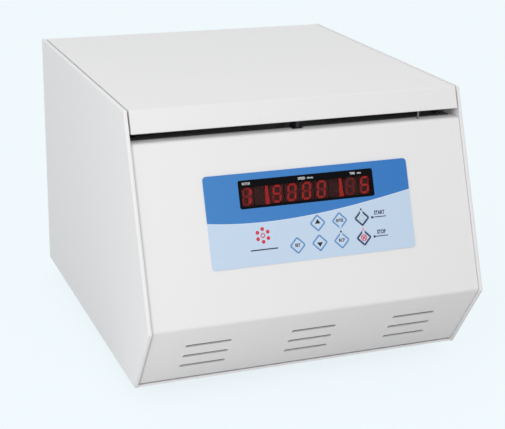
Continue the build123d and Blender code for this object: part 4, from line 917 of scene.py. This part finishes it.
class CENTRIFUGE_OT_chamber(bpy.types.Operator):
    """Finish the steel chamber, the angle rotor, the drive and the seals"""

    bl_idname = "centrifuge.chamber"
    bl_label = "Chamber and rotor"

    # The numbers on the rotor's top, in millimetres
    NUMBER_RING = 54.0
    NUMBER_HEIGHT = 5.0
    NUMBER_THICKNESS = 0.03
    POCKETS = 6

    def execute(self, context):
        centre_y = sum(corner[1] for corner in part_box("rotor_body")) / 2
        bright = [
            "drive_shaft", "motor_bearings", "hinge_pins", "lock_pin", "solenoid_plunger",
            "lock_hook",
        ]
        for nodes, material in (
            (["chamber_bowl"],
             turned_metal("bowl steel", (0.60, 0.60, 0.61), centre_y, 0.30, 0.0011)),
            (["rotor_body"],
             turned_metal("rotor aluminium", (0.62, 0.63, 0.66), centre_y, 0.34, 0.0008)),
            (["rotor_nut"],
             turned_metal("nut steel", (0.66, 0.66, 0.67), centre_y, 0.2, 0.0005)),
            (bright, brushed_metal("ground steel", (0.60, 0.60, 0.61), 0.25)),
            (["lid_switch_plunger"], brushed_metal("dull steel", (0.22, 0.22, 0.225), 0.45)),
            (["chamber_gasket", "shaft_boot"], rubber("seal rubber", (0.022, 0.022, 0.023))),
            (["feet", "motor_dampers"], rubber("foot rubber", (0.020, 0.020, 0.020))),
            (["guard_ring"],
             moulded("primed iron", (0.09, 0.09, 0.095), 0.7, grain=0.0012, depth=0.00008)),
            # Painted shade: the striker is made as dark as the shade in the lid gap where it
            # hangs
            (["lid_striker"],
             moulded("shade-dark steel", (0.022, 0.022, 0.024), 0.6, grain=0.0009)),
            (["motor_housing"], powder_coat("motor paint", (0.035, 0.04, 0.05), grain=0.0009)),
            (["motor_stator"],
             brushed_metal("winding copper", (0.60, 0.28, 0.14), 0.4, (1800, 1800, 90))),
            (["motor_armature", "lock_solenoid"],
             brushed_metal("laminated steel", (0.30, 0.30, 0.31), 0.45, (90, 90, 2600))),
            (["motor_plate", "board_standoffs", "main_board_posts"],
             zinc_plate("zinc plate", (0.58, 0.57, 0.54))),
        ):
            paint(nodes, material)
        soften(["rotor_body", "rotor_nut"], TURNED_ROUND)
        soften(["chamber_bowl", "chamber_gasket", "feet", "guard_ring", "shaft_boot"])
        soften(["motor_housing", "motor_dampers", "motor_stator", "motor_armature"])
        soften([*bright, "lid_switch_plunger", "lid_striker", "motor_plate"])
        self.number_pockets(centre_y)
        return {"FINISHED"}

    def number_pockets(self, centre_y):
        """Stamp plain numbers beside the rotor's pockets."""
        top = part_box("rotor_body")[1][2]
        black = ink("stamped numbers", (0.03, 0.03, 0.03))
        builder = bmesh.new()
        for pocket in range(self.POCKETS):
            turn = 2 * math.pi * (pocket + 0.5) / self.POCKETS
            spot = Matrix.Translation((0, centre_y, top)) @ Matrix.Rotation(turn, 4, "Z")
            spot = spot @ Matrix.Scale(MM, 4) @ Matrix.Translation((self.NUMBER_RING, 0, 0))
            spot = spot @ Matrix.Rotation(-math.pi / 2, 4, "Z")
            number = str(pocket + 1)
            add_word(builder, number, self.NUMBER_HEIGHT, self.NUMBER_THICKNESS, spot)
        built_piece("rotor_numbers", builder, black, "rotor")


class CENTRIFUGE_OT_panel(bpy.types.Operator):
    """Print the control panel: film, words, arrows and key symbols"""

    bl_idname = "centrifuge.panel"
    bl_label = "Control panel"

    # All in millimetres. A word has a height, a weight that thickens its strokes and a
    # stretch, which is its width as a share of the font's own. A ring has its two radii
    OUTLINE_INSET = 0.12
    OUTLINE_CORNER_INSET = 0.05
    LAMP_GAP = 1.1
    ARROW_HALF_WIDTH = 2.6
    ARROW_HALF_HEIGHT = 1.75
    ARROW_TIP = 0.3
    KEY_WORD = (2.5, 0.14)
    START_RING = (2.7, 1.9)
    STOP_RING = (2.8, 2.05)
    CROSS_REACH = 1.3
    CROSS_CLEAR = 0.35
    CROSS_WIDTH = 0.95
    SIDE_WORD = (3.2, 0.19, 0.72)
    SIDE_LINE_WIDTH = 0.75
    SIDE_DOT = 1.05
    SIDE_DOT_LAYERS = 1.5
    LAMP_RISE = 7.4
    LAMP_RADIUS = 0.95
    LAMP_SINK = 0.2
    LAMP_FLATNESS = 0.5
    # A direction along which no two of a lamp's faces lie level. Blender stores them in
    # another order each time, and sorted along it they are the same in every run
    LAMP_ORDER = (1.0, 0.37, 5.3)
    HEADER_ROW = 66.4
    HEADER_WEIGHT = 0.03
    SIGN_ACROSS = -45.0
    SIGN_ROW = 109.5
    SIGN_HUB = (2.0, 1.2)
    SIGN_DOTS = 6
    SIGN_REACH = 5.2
    SIGN_DOT = 1.6
    SIGN_LINE_ROW = 121.0
    SIGN_LINE_HALF = 12.0
    SIGN_LINE_WIDTH = 1.0

    def execute(self, context):
        colours = context.scene.centrifuge_colours
        sizes = context.scene.centrifuge_sizes
        film = overlay_film("overlay film", colours)
        paint(["keypad_overlay", *KEYS], film)
        soften(["keypad_overlay", *KEYS])
        self.thin = sizes.ink
        self.navy = ink("navy ink", tuple(colours.outline_navy))
        self.blue = ink("blue ink", tuple(colours.outline_blue))
        self.black = ink("black ink", (0.008, 0.008, 0.010))
        self.white = ink("white ink", (0.80, 0.82, 0.84))
        self.red = ink("red ink", (0.62, 0.03, 0.05))
        self.green = ink("green ink", (0.42, 0.62, 0.55))
        self.outlines(sizes)
        self.arrows()
        self.key_words()
        self.start_and_stop()
        self.side_words()
        self.lamps()
        self.header()
        self.pictogram()
        return {"FINISHED"}

    def outlines(self, sizes):
        """Diamond outline of each key, open where its lamp sits."""
        openings = {"key_start": 1, "key_stop": 1, "key_mode": 1, "key_enter": -1}
        for name, (across, down) in KEY_PLACES.items():
            bold = name in ("key_start", "key_stop")
            builder = bmesh.new()
            add_outline(
                builder,
                self.key_half() - self.OUTLINE_INSET,
                KEY_CORNER - self.OUTLINE_CORNER_INSET,
                sizes.bold_outline if bold else sizes.outline,
                self.thin,
                on_panel(across, down),
                openings.get(name),
                self.LAMP_GAP,
            )
            built_piece(name + "_outline", builder, self.navy if bold else self.blue, name)

    def key_half(self):
        """Half the diagonal of a key, to where its rounded corner would be sharp."""
        left, right, _, _ = face_box("key_up")
        return (right - left) / 2 + (math.sqrt(2) - 1) * KEY_CORNER

    def arrows(self):
        """Arrows of the two keys that change a value; lift is how far up each one sits."""
        half, tip = self.ARROW_HALF_WIDTH, self.ARROW_TIP
        for name, side, lift in (("key_up", 1, 1.2), ("key_down", -1, -1.3)):
            builder = bmesh.new()
            low, high = (lift + self.ARROW_HALF_HEIGHT * side * end for end in (-1, 1))
            arrow = [(-half, low), (half, low), (tip, high), (-tip, high)]
            if side < 0:
                arrow.reverse()
            add_plate(builder, arrow, self.thin, on_panel(*KEY_PLACES[name]))
            built_piece(name + "_arrow", builder, self.black, name)

    def key_words(self):
        """Short words on three keys."""
        height, weight = self.KEY_WORD
        for name, text, stretch in (
            ("key_set", "SET", 0.85),
            ("key_enter", "ENTER", 0.62),
            ("key_mode", "RCF", 0.85),
        ):
            builder = bmesh.new()
            place = on_panel(*KEY_PLACES[name])
            add_word(builder, text, height, self.thin, place, weight, stretch)
            built_piece(name + "_word", builder, self.black, name)

    def start_and_stop(self):
        """Ring of the start key and crossed circle of the stop key."""
        builder = bmesh.new()
        place = on_panel(*KEY_PLACES["key_start"])
        add_ring(builder, *self.START_RING, self.thin, place)
        built_piece("start_ring", builder, self.green, "key_start")
        builder = bmesh.new()
        place = on_panel(*KEY_PLACES["key_stop"])
        add_ring(builder, *self.STOP_RING, self.thin, place)
        reach, clear = self.CROSS_REACH, self.CROSS_CLEAR
        for start, end in (
            ((-reach, -reach), (reach, reach)),
            ((-clear, clear), (-reach, reach)),
            ((clear, -clear), (reach, -reach)),
        ):
            add_bar(builder, start, end, self.CROSS_WIDTH, self.thin, place)
        built_piece("stop_cross", builder, self.red, "key_stop")

    def side_words(self):
        """START and STOP, each over a line that runs to a dot beside its key."""
        builder = bmesh.new()
        height, weight, stretch = self.SIDE_WORD
        for text, across, down, dot, end, row in (
            ("START", 60.8, 101.3, 53.8, 66.7, 104.7),
            ("STOP", 60.8, 117.6, 54.1, 66.7, 120.9),
        ):
            place = on_panel(across, down)
            add_word(builder, text, height, self.thin, place, weight, stretch)
            place = on_panel(0, row)
            add_bar(builder, (dot, 0), (end, 0), self.SIDE_LINE_WIDTH, self.thin, place)
            spot = disc(self.SIDE_DOT, steps=16, centre=(dot, 0))
            add_plate(builder, spot, self.thin * self.SIDE_DOT_LAYERS, place)
        built_piece("panel_words", builder, self.navy, "housing")

    def lamps(self):
        """Indicator lamps over three keys."""
        dark = moulded("unlit lamp", (0.05, 0.03, 0.05), 0.35)
        lit = glow("lit lamp", (0.9, 0.10, 0.16), 0.9, 0.2)
        for name, material in (("key_start", dark), ("key_stop", lit), ("key_mode", dark)):
            across, down = KEY_PLACES[name]
            builder = bmesh.new()
            bmesh.ops.create_uvsphere(
                builder, u_segments=14, v_segments=8, radius=self.LAMP_RADIUS
            )
            for vert in builder.verts:
                vert.co.z = max(vert.co.z, 0.0) * self.LAMP_FLATNESS
            order = Vector(self.LAMP_ORDER)
            builder.faces.sort(key=lambda face: face.calc_center_median().dot(order))
            builder.transform(on_panel(across, down - self.LAMP_RISE, -self.LAMP_SINK))
            built_piece(name + "_lamp", builder, material, "housing")

    def header(self):
        """White words over the numerals: text, across, height and stretch."""
        builder = bmesh.new()
        for text, across, height, stretch in (
            ("ROTOR", -54.6, 2.0, 0.72),
            ("SPEED", -5.7, 2.1, 0.80),
            ("r/min", 1.9, 1.6, 1.10),
            ("TIME", 40.2, 2.0, 0.80),
            ("min", 46.3, 1.6, 1.10),
        ):
            place = on_panel(across, self.HEADER_ROW)
            add_word(builder, text, height, self.thin, place, self.HEADER_WEIGHT, stretch)
        built_piece("display_words", builder, self.white, "housing")

    def pictogram(self):
        """A plain sign for a rotor, dots round a hub, over a bar."""
        builder = bmesh.new()
        place = on_panel(self.SIGN_ACROSS, self.SIGN_ROW)
        add_ring(builder, *self.SIGN_HUB, self.thin, place)
        for dot in range(self.SIGN_DOTS):
            turn = 2 * math.pi * (dot + 0.5) / self.SIGN_DOTS
            centre = (self.SIGN_REACH * math.cos(turn), self.SIGN_REACH * math.sin(turn))
            add_plate(builder, disc(self.SIGN_DOT, steps=18, centre=centre), self.thin, place)
        built_piece("rotor_sign", builder, self.red, "housing")
        builder = bmesh.new()
        place = on_panel(self.SIGN_ACROSS, self.SIGN_LINE_ROW)
        half = self.SIGN_LINE_HALF
        add_bar(builder, (-half, 0), (half, 0), self.SIGN_LINE_WIDTH, self.thin, place)
        built_piece("rotor_sign_line", builder, self.black, "housing")


class CENTRIFUGE_OT_display(bpy.types.Operator):
    """Light the seven-segment numerals behind the tinted window"""

    bl_idname = "centrifuge.display"
    bl_label = "Display"

    # In millimetres on the panel
    ROW = 76.8
    MIDDLE = -1.3
    PITCH = 13.2
    LIGHT_DEPTH = 0.08
    SEGMENT_GAP = 0.28
    BROAD_SEGMENT = 2.9
    BROAD_INSET = 0.2
    POINT_RADIUS = 1.2
    POINT_ACROSS = 5.6
    POINT_DROP = 0.4
    SLANT = math.tan(math.radians(8))
    # Corners of the bar that fills a cell's right side when both its segments shine
    BAR = ((2.4, -7.95), (6.3, -7.95), (5.7, 7.95), (3.5, 7.95))

    def execute(self, context):
        colours = context.scene.centrifuge_colours
        sizes = context.scene.centrifuge_sizes
        paint(["display_window"], tinted_window("tinted window"))
        soften(["display_window"], WINDOW_ROUND)
        block = moulded("numeral block", (0.078, 0.020, 0.018), 0.6)
        paint(["led_digits"], block)
        red = tuple(colours.numeral_red)
        light = {
            "bright": glow("bright segment", red, 0.60),
            "half": glow("half-lit segment", red, 0.32),
            "faint": glow("faint segment", red, 0.22),
        }
        front = self.block_front()
        zero = {"abcdef": "bright", "g": "half"}
        cells = (
            {"BC": "bright", "adefg": "half"},
            {"1": "bright"},
            {"acdfg": "bright", "be": "half"},
            zero,
            zero,
            zero,
            {"1p": "bright"},
            {"abcdefg": "faint"},
            {"acdfg": "bright", "e": "half", "b": "faint"},
        )
        builders = {level: bmesh.new() for level in light}
        for index, cell in enumerate(cells):
            across = self.MIDDLE + (index - (len(cells) - 1) / 2) * self.PITCH
            place = on_panel(across, self.ROW, front)
            lit = {letter: level for letters, level in cell.items() for letter in letters}
            for letter, outline in self.segments(sizes).items():
                level = lit.get(letter)
                if level:
                    add_plate(builders[level], outline, self.LIGHT_DEPTH, place)
        for level, builder in builders.items():
            built_piece("numerals_" + level, builder, light[level], "housing")
        return {"FINISHED"}

    def block_front(self):
        """Height of the numeral blocks' face over the printed panel's face, in mm."""
        inverse = PANEL.inverted()
        return max((inverse @ vert.co).z for vert in NODES["led_digits"].data.vertices) / MM

    def segments(self, sizes):
        """Outlines of the segments of one slanted numeral.

        B and C are broad ones, 1 is a bar over the whole right side and p is the point.
        """
        tall = sizes.numeral_height / 2
        wide = sizes.numeral_width / 2
        bar = sizes.segment
        gap = self.SEGMENT_GAP

        def lean(points):
            return [(x + y * self.SLANT, y) for x, y in points]

        def level_bar(y):
            left, right = -wide + bar / 2 + gap, wide - bar / 2 - gap
            return lean([
                (left, y), (left + bar / 2, y - bar / 2), (right - bar / 2, y - bar / 2),
                (right, y), (right - bar / 2, y + bar / 2), (left + bar / 2, y + bar / 2),
            ])

        def upright_bar(x, low, high, thick=bar):
            half = thick / 2
            return lean([
                (x, low), (x + half, low + half), (x + half, high - half),
                (x, high), (x - half, high - half), (x - half, low + half),
            ])

        middle = wide - bar / 2
        inset = middle - self.BROAD_INSET
        top, bottom = tall - bar / 2, -tall + bar / 2
        point = (self.POINT_ACROSS, bottom - self.POINT_DROP)
        return {
            "a": level_bar(top),
            "g": level_bar(0.0),
            "d": level_bar(bottom),
            "b": upright_bar(middle, gap, top - gap),
            "c": upright_bar(middle, bottom + gap, -gap),
            "e": upright_bar(-middle, bottom + gap, -gap),
            "f": upright_bar(-middle, gap, top - gap),
            "B": upright_bar(inset, gap, top, self.BROAD_SEGMENT),
            "C": upright_bar(inset, bottom, -gap, self.BROAD_SEGMENT),
            "1": self.BAR,
            "p": disc(self.POINT_RADIUS, steps=14, centre=point),
        }


class CENTRIFUGE_OT_rear(bpy.types.Operator):
    """Finish the fan, mains inlet, switch and fuse on the rear wall, and the boards"""

    bl_idname = "centrifuge.rear"
    bl_label = "Rear wall and electronics"

    # The inlet's blades in millimetres, across and up from its middle
    BLADES = ((-7.0, 0.0), (7.0, 0.0), (0.0, 3.5))
    BLADE_HALF = (1.04, 2.04)
    BLADE_LENGTH = 12.0
    BLADE_FOOT = 15.9
    TIP_LENGTH = 0.5
    TIP_SHARE = (0.7, 0.85)
    # The rocker's tilt, and in millimetres its face over its pivot, its dish and its signs
    ROCKER_TILT = math.radians(10)
    ROCKER_FACE = 5.6
    DISH_DEPTH = 1.4
    DISH_HALF_LENGTH = 10.5
    SIGN_SPOT = 6.0
    SIGN_THICKNESS = 0.05
    LINE_HALF = 1.9
    LINE_WIDTH = 0.7
    RING = (2.0, 1.4)

    def execute(self, context):
        moulded_black = [
            "key_switches", "lid_switch", "fan_frame", "fan_impeller", "power_inlet",
            "switch_frame", "fuse_holder", "capacitors",
        ]
        for nodes, material in (
            (moulded_black, moulded("black plastic", (0.018, 0.018, 0.020), 0.45)),
            (["power_rocker"],
             moulded("rocker plastic", (0.012, 0.012, 0.014), 0.22, coat=0.3)),
            (["display_board", "main_board"],
             moulded("board green", (0.01, 0.10, 0.04), 0.35, grain=0.002, coat=0.4)),
            (["heat_sink"],
             brushed_metal("sink aluminium", (0.62, 0.63, 0.65), 0.4, (2600, 60, 2600))),
        ):
            paint(nodes, material)
        rounded = ["power_inlet", "switch_frame", "fuse_holder", "power_rocker"]
        soften(rounded, PLASTIC_ROUND)
        soften(["fan_frame", "fan_impeller", "capacitors"])
        self.contacts()
        self.rocker_signs()
        return {"FINISHED"}

    def contacts(self):
        """Nickel blades over the inlet's three pins."""
        low, high = (Vector(corner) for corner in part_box("power_inlet"))
        middle = (low + high) / 2
        foot_y = high.y - self.BLADE_FOOT * MM
        half_x, half_y = self.BLADE_HALF
        blade = [(-half_x, -half_y), (half_x, -half_y), (half_x, half_y), (-half_x, half_y)]
        tip_blade = [(x * self.TIP_SHARE[0], y * self.TIP_SHARE[1]) for x, y in blade]
        builder = bmesh.new()
        for across, rise in self.BLADES:
            foot = (middle.x + across * MM, foot_y, middle.z + rise * MM)
            place = Matrix.Translation(foot) @ Matrix.Rotation(-math.pi / 2, 4, "X")
            place = place @ Matrix.Scale(MM, 4)
            add_plate(builder, blade, self.BLADE_LENGTH, place)
            tip = place @ Matrix.Translation((0, 0, self.BLADE_LENGTH))
            add_plate(builder, tip_blade, self.TIP_LENGTH, tip)
        nickel = brushed_metal("nickel", (0.62, 0.60, 0.55), 0.25)
        built_piece("inlet_contacts", builder, nickel, "housing")

    def rocker_signs(self):
        """The line and the ring that mark on and off."""
        joint = next(item for item in frame["joints"] if item["name"] == "rocker_tilt")
        white = ink("sign white", (0.75, 0.75, 0.75))
        builder = bmesh.new()
        turn = Matrix.Rotation(self.ROCKER_TILT, 4, "X")
        outward = Matrix((Vector((-1, 0, 0)), Vector((0, 0, 1)), Vector((0, 1, 0))))
        base = Matrix.Translation(joint["pos_m"]) @ turn @ outward.transposed().to_4x4()
        base = base @ Matrix.Scale(MM, 4)
        fall = math.atan2(self.DISH_DEPTH, self.DISH_HALF_LENGTH)
        height = self.ROCKER_FACE - self.DISH_DEPTH + math.tan(fall) * self.SIGN_SPOT
        for side in (-1, 1):
            spot = base @ Matrix.Translation((0, side * self.SIGN_SPOT, height))
            spot = spot @ Matrix.Rotation(side * fall, 4, "X")
            if side > 0:
                start, end = (0, -self.LINE_HALF), (0, self.LINE_HALF)
                add_bar(builder, start, end, self.LINE_WIDTH, self.SIGN_THICKNESS, spot)
            else:
                add_ring(builder, *self.RING, self.SIGN_THICKNESS, spot)
        built_piece("rocker_signs", builder, white, "rocker")


class CENTRIFUGE_OT_screws(bpy.types.Operator):
    """Put cross-recessed screws where the plain heads are"""

    bl_idname = "centrifuge.screws"
    bl_label = "Screws"

    def execute(self, context):
        sizes = context.scene.centrifuge_sizes
        tree = repeat_tree()
        zinc = bpy.data.materials["zinc plate"]
        dark = zinc_plate("blackened screw", (0.09, 0.09, 0.095))
        groups = (
            ("rear_screws", Vector((0, 1, 0)), 1, zinc),
            ("deck_screws", Vector((0, 0, 1)), 2, dark),
            ("motor_screws", Vector((0, 0, -1)), 2, zinc),
        )
        for name, facing, axis, plate in groups:
            spots = []
            for low, high in islands(name):
                seat = (low + high) / 2
                seat[axis] = low[axis] if facing[axis] > 0 else high[axis]
                spots.append((seat, facing))
            head = pan_head(sizes.screw_radius, sizes.screw_height)
            heads = repeat_on(name[:-1] + "_heads", tree, spots, head, plate, "housing")
            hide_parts(name)
        paint(["foot_screws"], zinc)
        return {"FINISHED"}


class CENTRIFUGE_OT_stage(bpy.types.Operator):
    """Set the camera, the lights and the floor"""

    bl_idname = "centrifuge.stage"
    bl_label = "Stage"

    # Metres, and directions in the frame's axes
    CAMERA_PLACE = (-0.40903, -1.08497, 0.49933)
    CAMERA_RIGHT = (0.93551, -0.35298, 0.01498)
    CAMERA_UP = (0.10035, 0.30615, 0.94668)
    SENSOR_WIDTH = 36.0
    LAMP_PLACE = (-0.60, -0.95, 0.80)
    LAMP_TARGET = (0, 0, 0.12)
    LAMP_SIZE = 0.8
    FLOOR_REACH = 6.0
    # How light the floor is for the light it throws back: in front, and elsewhere
    FLOOR_AHEAD = (0.84, 0.84, 0.84)
    FLOOR_AROUND = (0.48, 0.48, 0.48)
    # Where the lighter part ends, and over what length: towards the back, and to the right
    AHEAD_END = (-0.19, 0.12)
    LEFT_END = (-0.18, 0.60)
    # The share of the seen floor that is its own plain tone; the rest takes the shadow
    PLAIN_SHARE = 0.88

    def execute(self, context):
        settings = context.scene.centrifuge_stage
        self.camera(context, settings)
        self.world(context, settings)
        self.lamp(settings)
        self.floor(settings)
        context.scene.view_settings.view_transform = "Standard"
        return {"FINISHED"}

    def camera(self, context, settings):
        """The camera stands where the housing's corners in the picture put it."""
        lens = bpy.data.cameras.new("camera")
        lens.sensor_width = self.SENSOR_WIDTH
        lens.lens = settings.lens
        camera = stand("camera", lens)
        right, up = Vector(self.CAMERA_RIGHT), Vector(self.CAMERA_UP)
        turn = Matrix((right, up, right.cross(up))).transposed().to_4x4()
        camera.matrix_world = Matrix.Translation(self.CAMERA_PLACE) @ turn
        context.scene.camera = camera

    def world(self, context, settings):
        """Light from all round, and the pale backdrop that is seen in its place."""
        world = bpy.data.worlds.new("studio")
        context.scene.world = world
        world.use_nodes = True
        tree = world.node_tree
        direction = add_node(tree, "ShaderNodeTexCoord", out="Generated")
        rightward, _, upward = split_axes(tree, direction)
        tint = mix_colours(tree, upward.most(0.0), (1.0, 1.0, 1.0), settings.overhead)
        leftward = (rightward * -1.0).most(0.0)
        tint = mix_colours(tree, leftward, tint, (settings.leftward,) * 3)
        light = tree.nodes["Background"]
        plug(tree, light.inputs["Color"], tint)
        plug(tree, light.inputs["Strength"], settings.ambient)
        backdrop = add_node(
            tree, "ShaderNodeBackground", sockets={"Color": (*settings.floor, 1.0)}
        )
        self.show(tree, Field(tree, light.outputs[0]), backdrop, "World Output")

    def show(self, tree, lighting, looked_at, output):
        """End a tree with one shader that lights the object and another that is seen."""
        either = add_node(
            tree, "ShaderNodeMixShader", sockets={0: seen(tree), 1: lighting, 2: looked_at}
        )
        plug(tree, tree.nodes[output].inputs["Surface"], either)

    def lamp(self, settings):
        """One large soft lamp at the left front, high up."""
        data = bpy.data.lights.new("key lamp", "AREA")
        data.size = self.LAMP_SIZE
        data.energy = settings.key_power
        lamp = stand("key lamp", data)
        lamp.location = self.LAMP_PLACE
        aim = Vector(self.LAMP_TARGET) - lamp.location
        lamp.rotation_euler = aim.to_track_quat("-Z", "Y").to_euler()
        lamp.visible_camera = False

    def floor(self, settings):
        """A wide pale floor that takes the object's shadow."""
        mesh = bpy.data.meshes.new("floor")
        reach = self.FLOOR_REACH
        corners = [(-reach, -reach, 0), (reach, -reach, 0), (reach, reach, 0), (-reach, reach, 0)]
        mesh.from_pydata(corners, [], [(0, 1, 2, 3)])
        finish = Finish("floor", self.FLOOR_AHEAD, 0.9)
        x, y, _ = finish.axes()
        ahead = (1.0 - y.over(*self.AHEAD_END)) * (1.0 - x.over(*self.LEFT_END))
        finish.put("Base Color", finish.blend(ahead, self.FLOOR_AROUND, self.FLOOR_AHEAD))
        finish.put("Specular IOR Level", 0.0)
        colour = {"Color": (*settings.floor, 1.0)}
        shadowed = finish.add("ShaderNodeBsdfDiffuse", sockets=colour)
        plain = finish.add("ShaderNodeEmission", sockets=colour)
        looked_at = finish.add(
            "ShaderNodeMixShader", sockets={0: self.PLAIN_SHARE, 1: shadowed, 2: plain}
        )
        lighting = Field(finish.tree, finish.shader.outputs[0])
        self.show(finish.tree, lighting, looked_at, "Material Output")
        mesh.materials.append(finish.material)
        floor = stand("floor", mesh)


class CENTRIFUGE_PT_tools(bpy.types.Panel):
    """Lists the steps that dress the centrifuge"""

    bl_label = "Benchtop centrifuge"
    bl_space_type = "VIEW_3D"
    bl_region_type = "UI"
    bl_category = "Centrifuge"

    def draw(self, context):
        for operator in OPERATORS:
            self.layout.operator(operator.bl_idname)


GROUPS = {
    "centrifuge_colours": CentrifugeColours,
    "centrifuge_sizes": CentrifugeSizes,
    "centrifuge_stage": CentrifugeStage,
}
OPERATORS = (
    CENTRIFUGE_OT_stage,
    CENTRIFUGE_OT_housing,
    CENTRIFUGE_OT_chamber,
    CENTRIFUGE_OT_panel,
    CENTRIFUGE_OT_display,
    CENTRIFUGE_OT_rear,
    CENTRIFUGE_OT_screws,
)


def register():
    for group in GROUPS.values():
        bpy.utils.register_class(group)
    for name, group in GROUPS.items():
        setattr(bpy.types.Scene, name, bpy.props.PointerProperty(type=group))
    for operator in OPERATORS:
        bpy.utils.register_class(operator)
    bpy.utils.register_class(CENTRIFUGE_PT_tools)


def unregister():
    bpy.utils.unregister_class(CENTRIFUGE_PT_tools)
    for operator in reversed(OPERATORS):
        bpy.utils.unregister_class(operator)
    for name in GROUPS:
        delattr(bpy.types.Scene, name)
    for group in reversed(list(GROUPS.values())):
        bpy.utils.unregister_class(group)


def main():
    """Dress the frame step by step."""
    register()
    for operator in OPERATORS:
        group, name = operator.bl_idname.split(".")
        getattr(getattr(bpy.ops, group), name)()


if __name__ == "__main__":
    main()
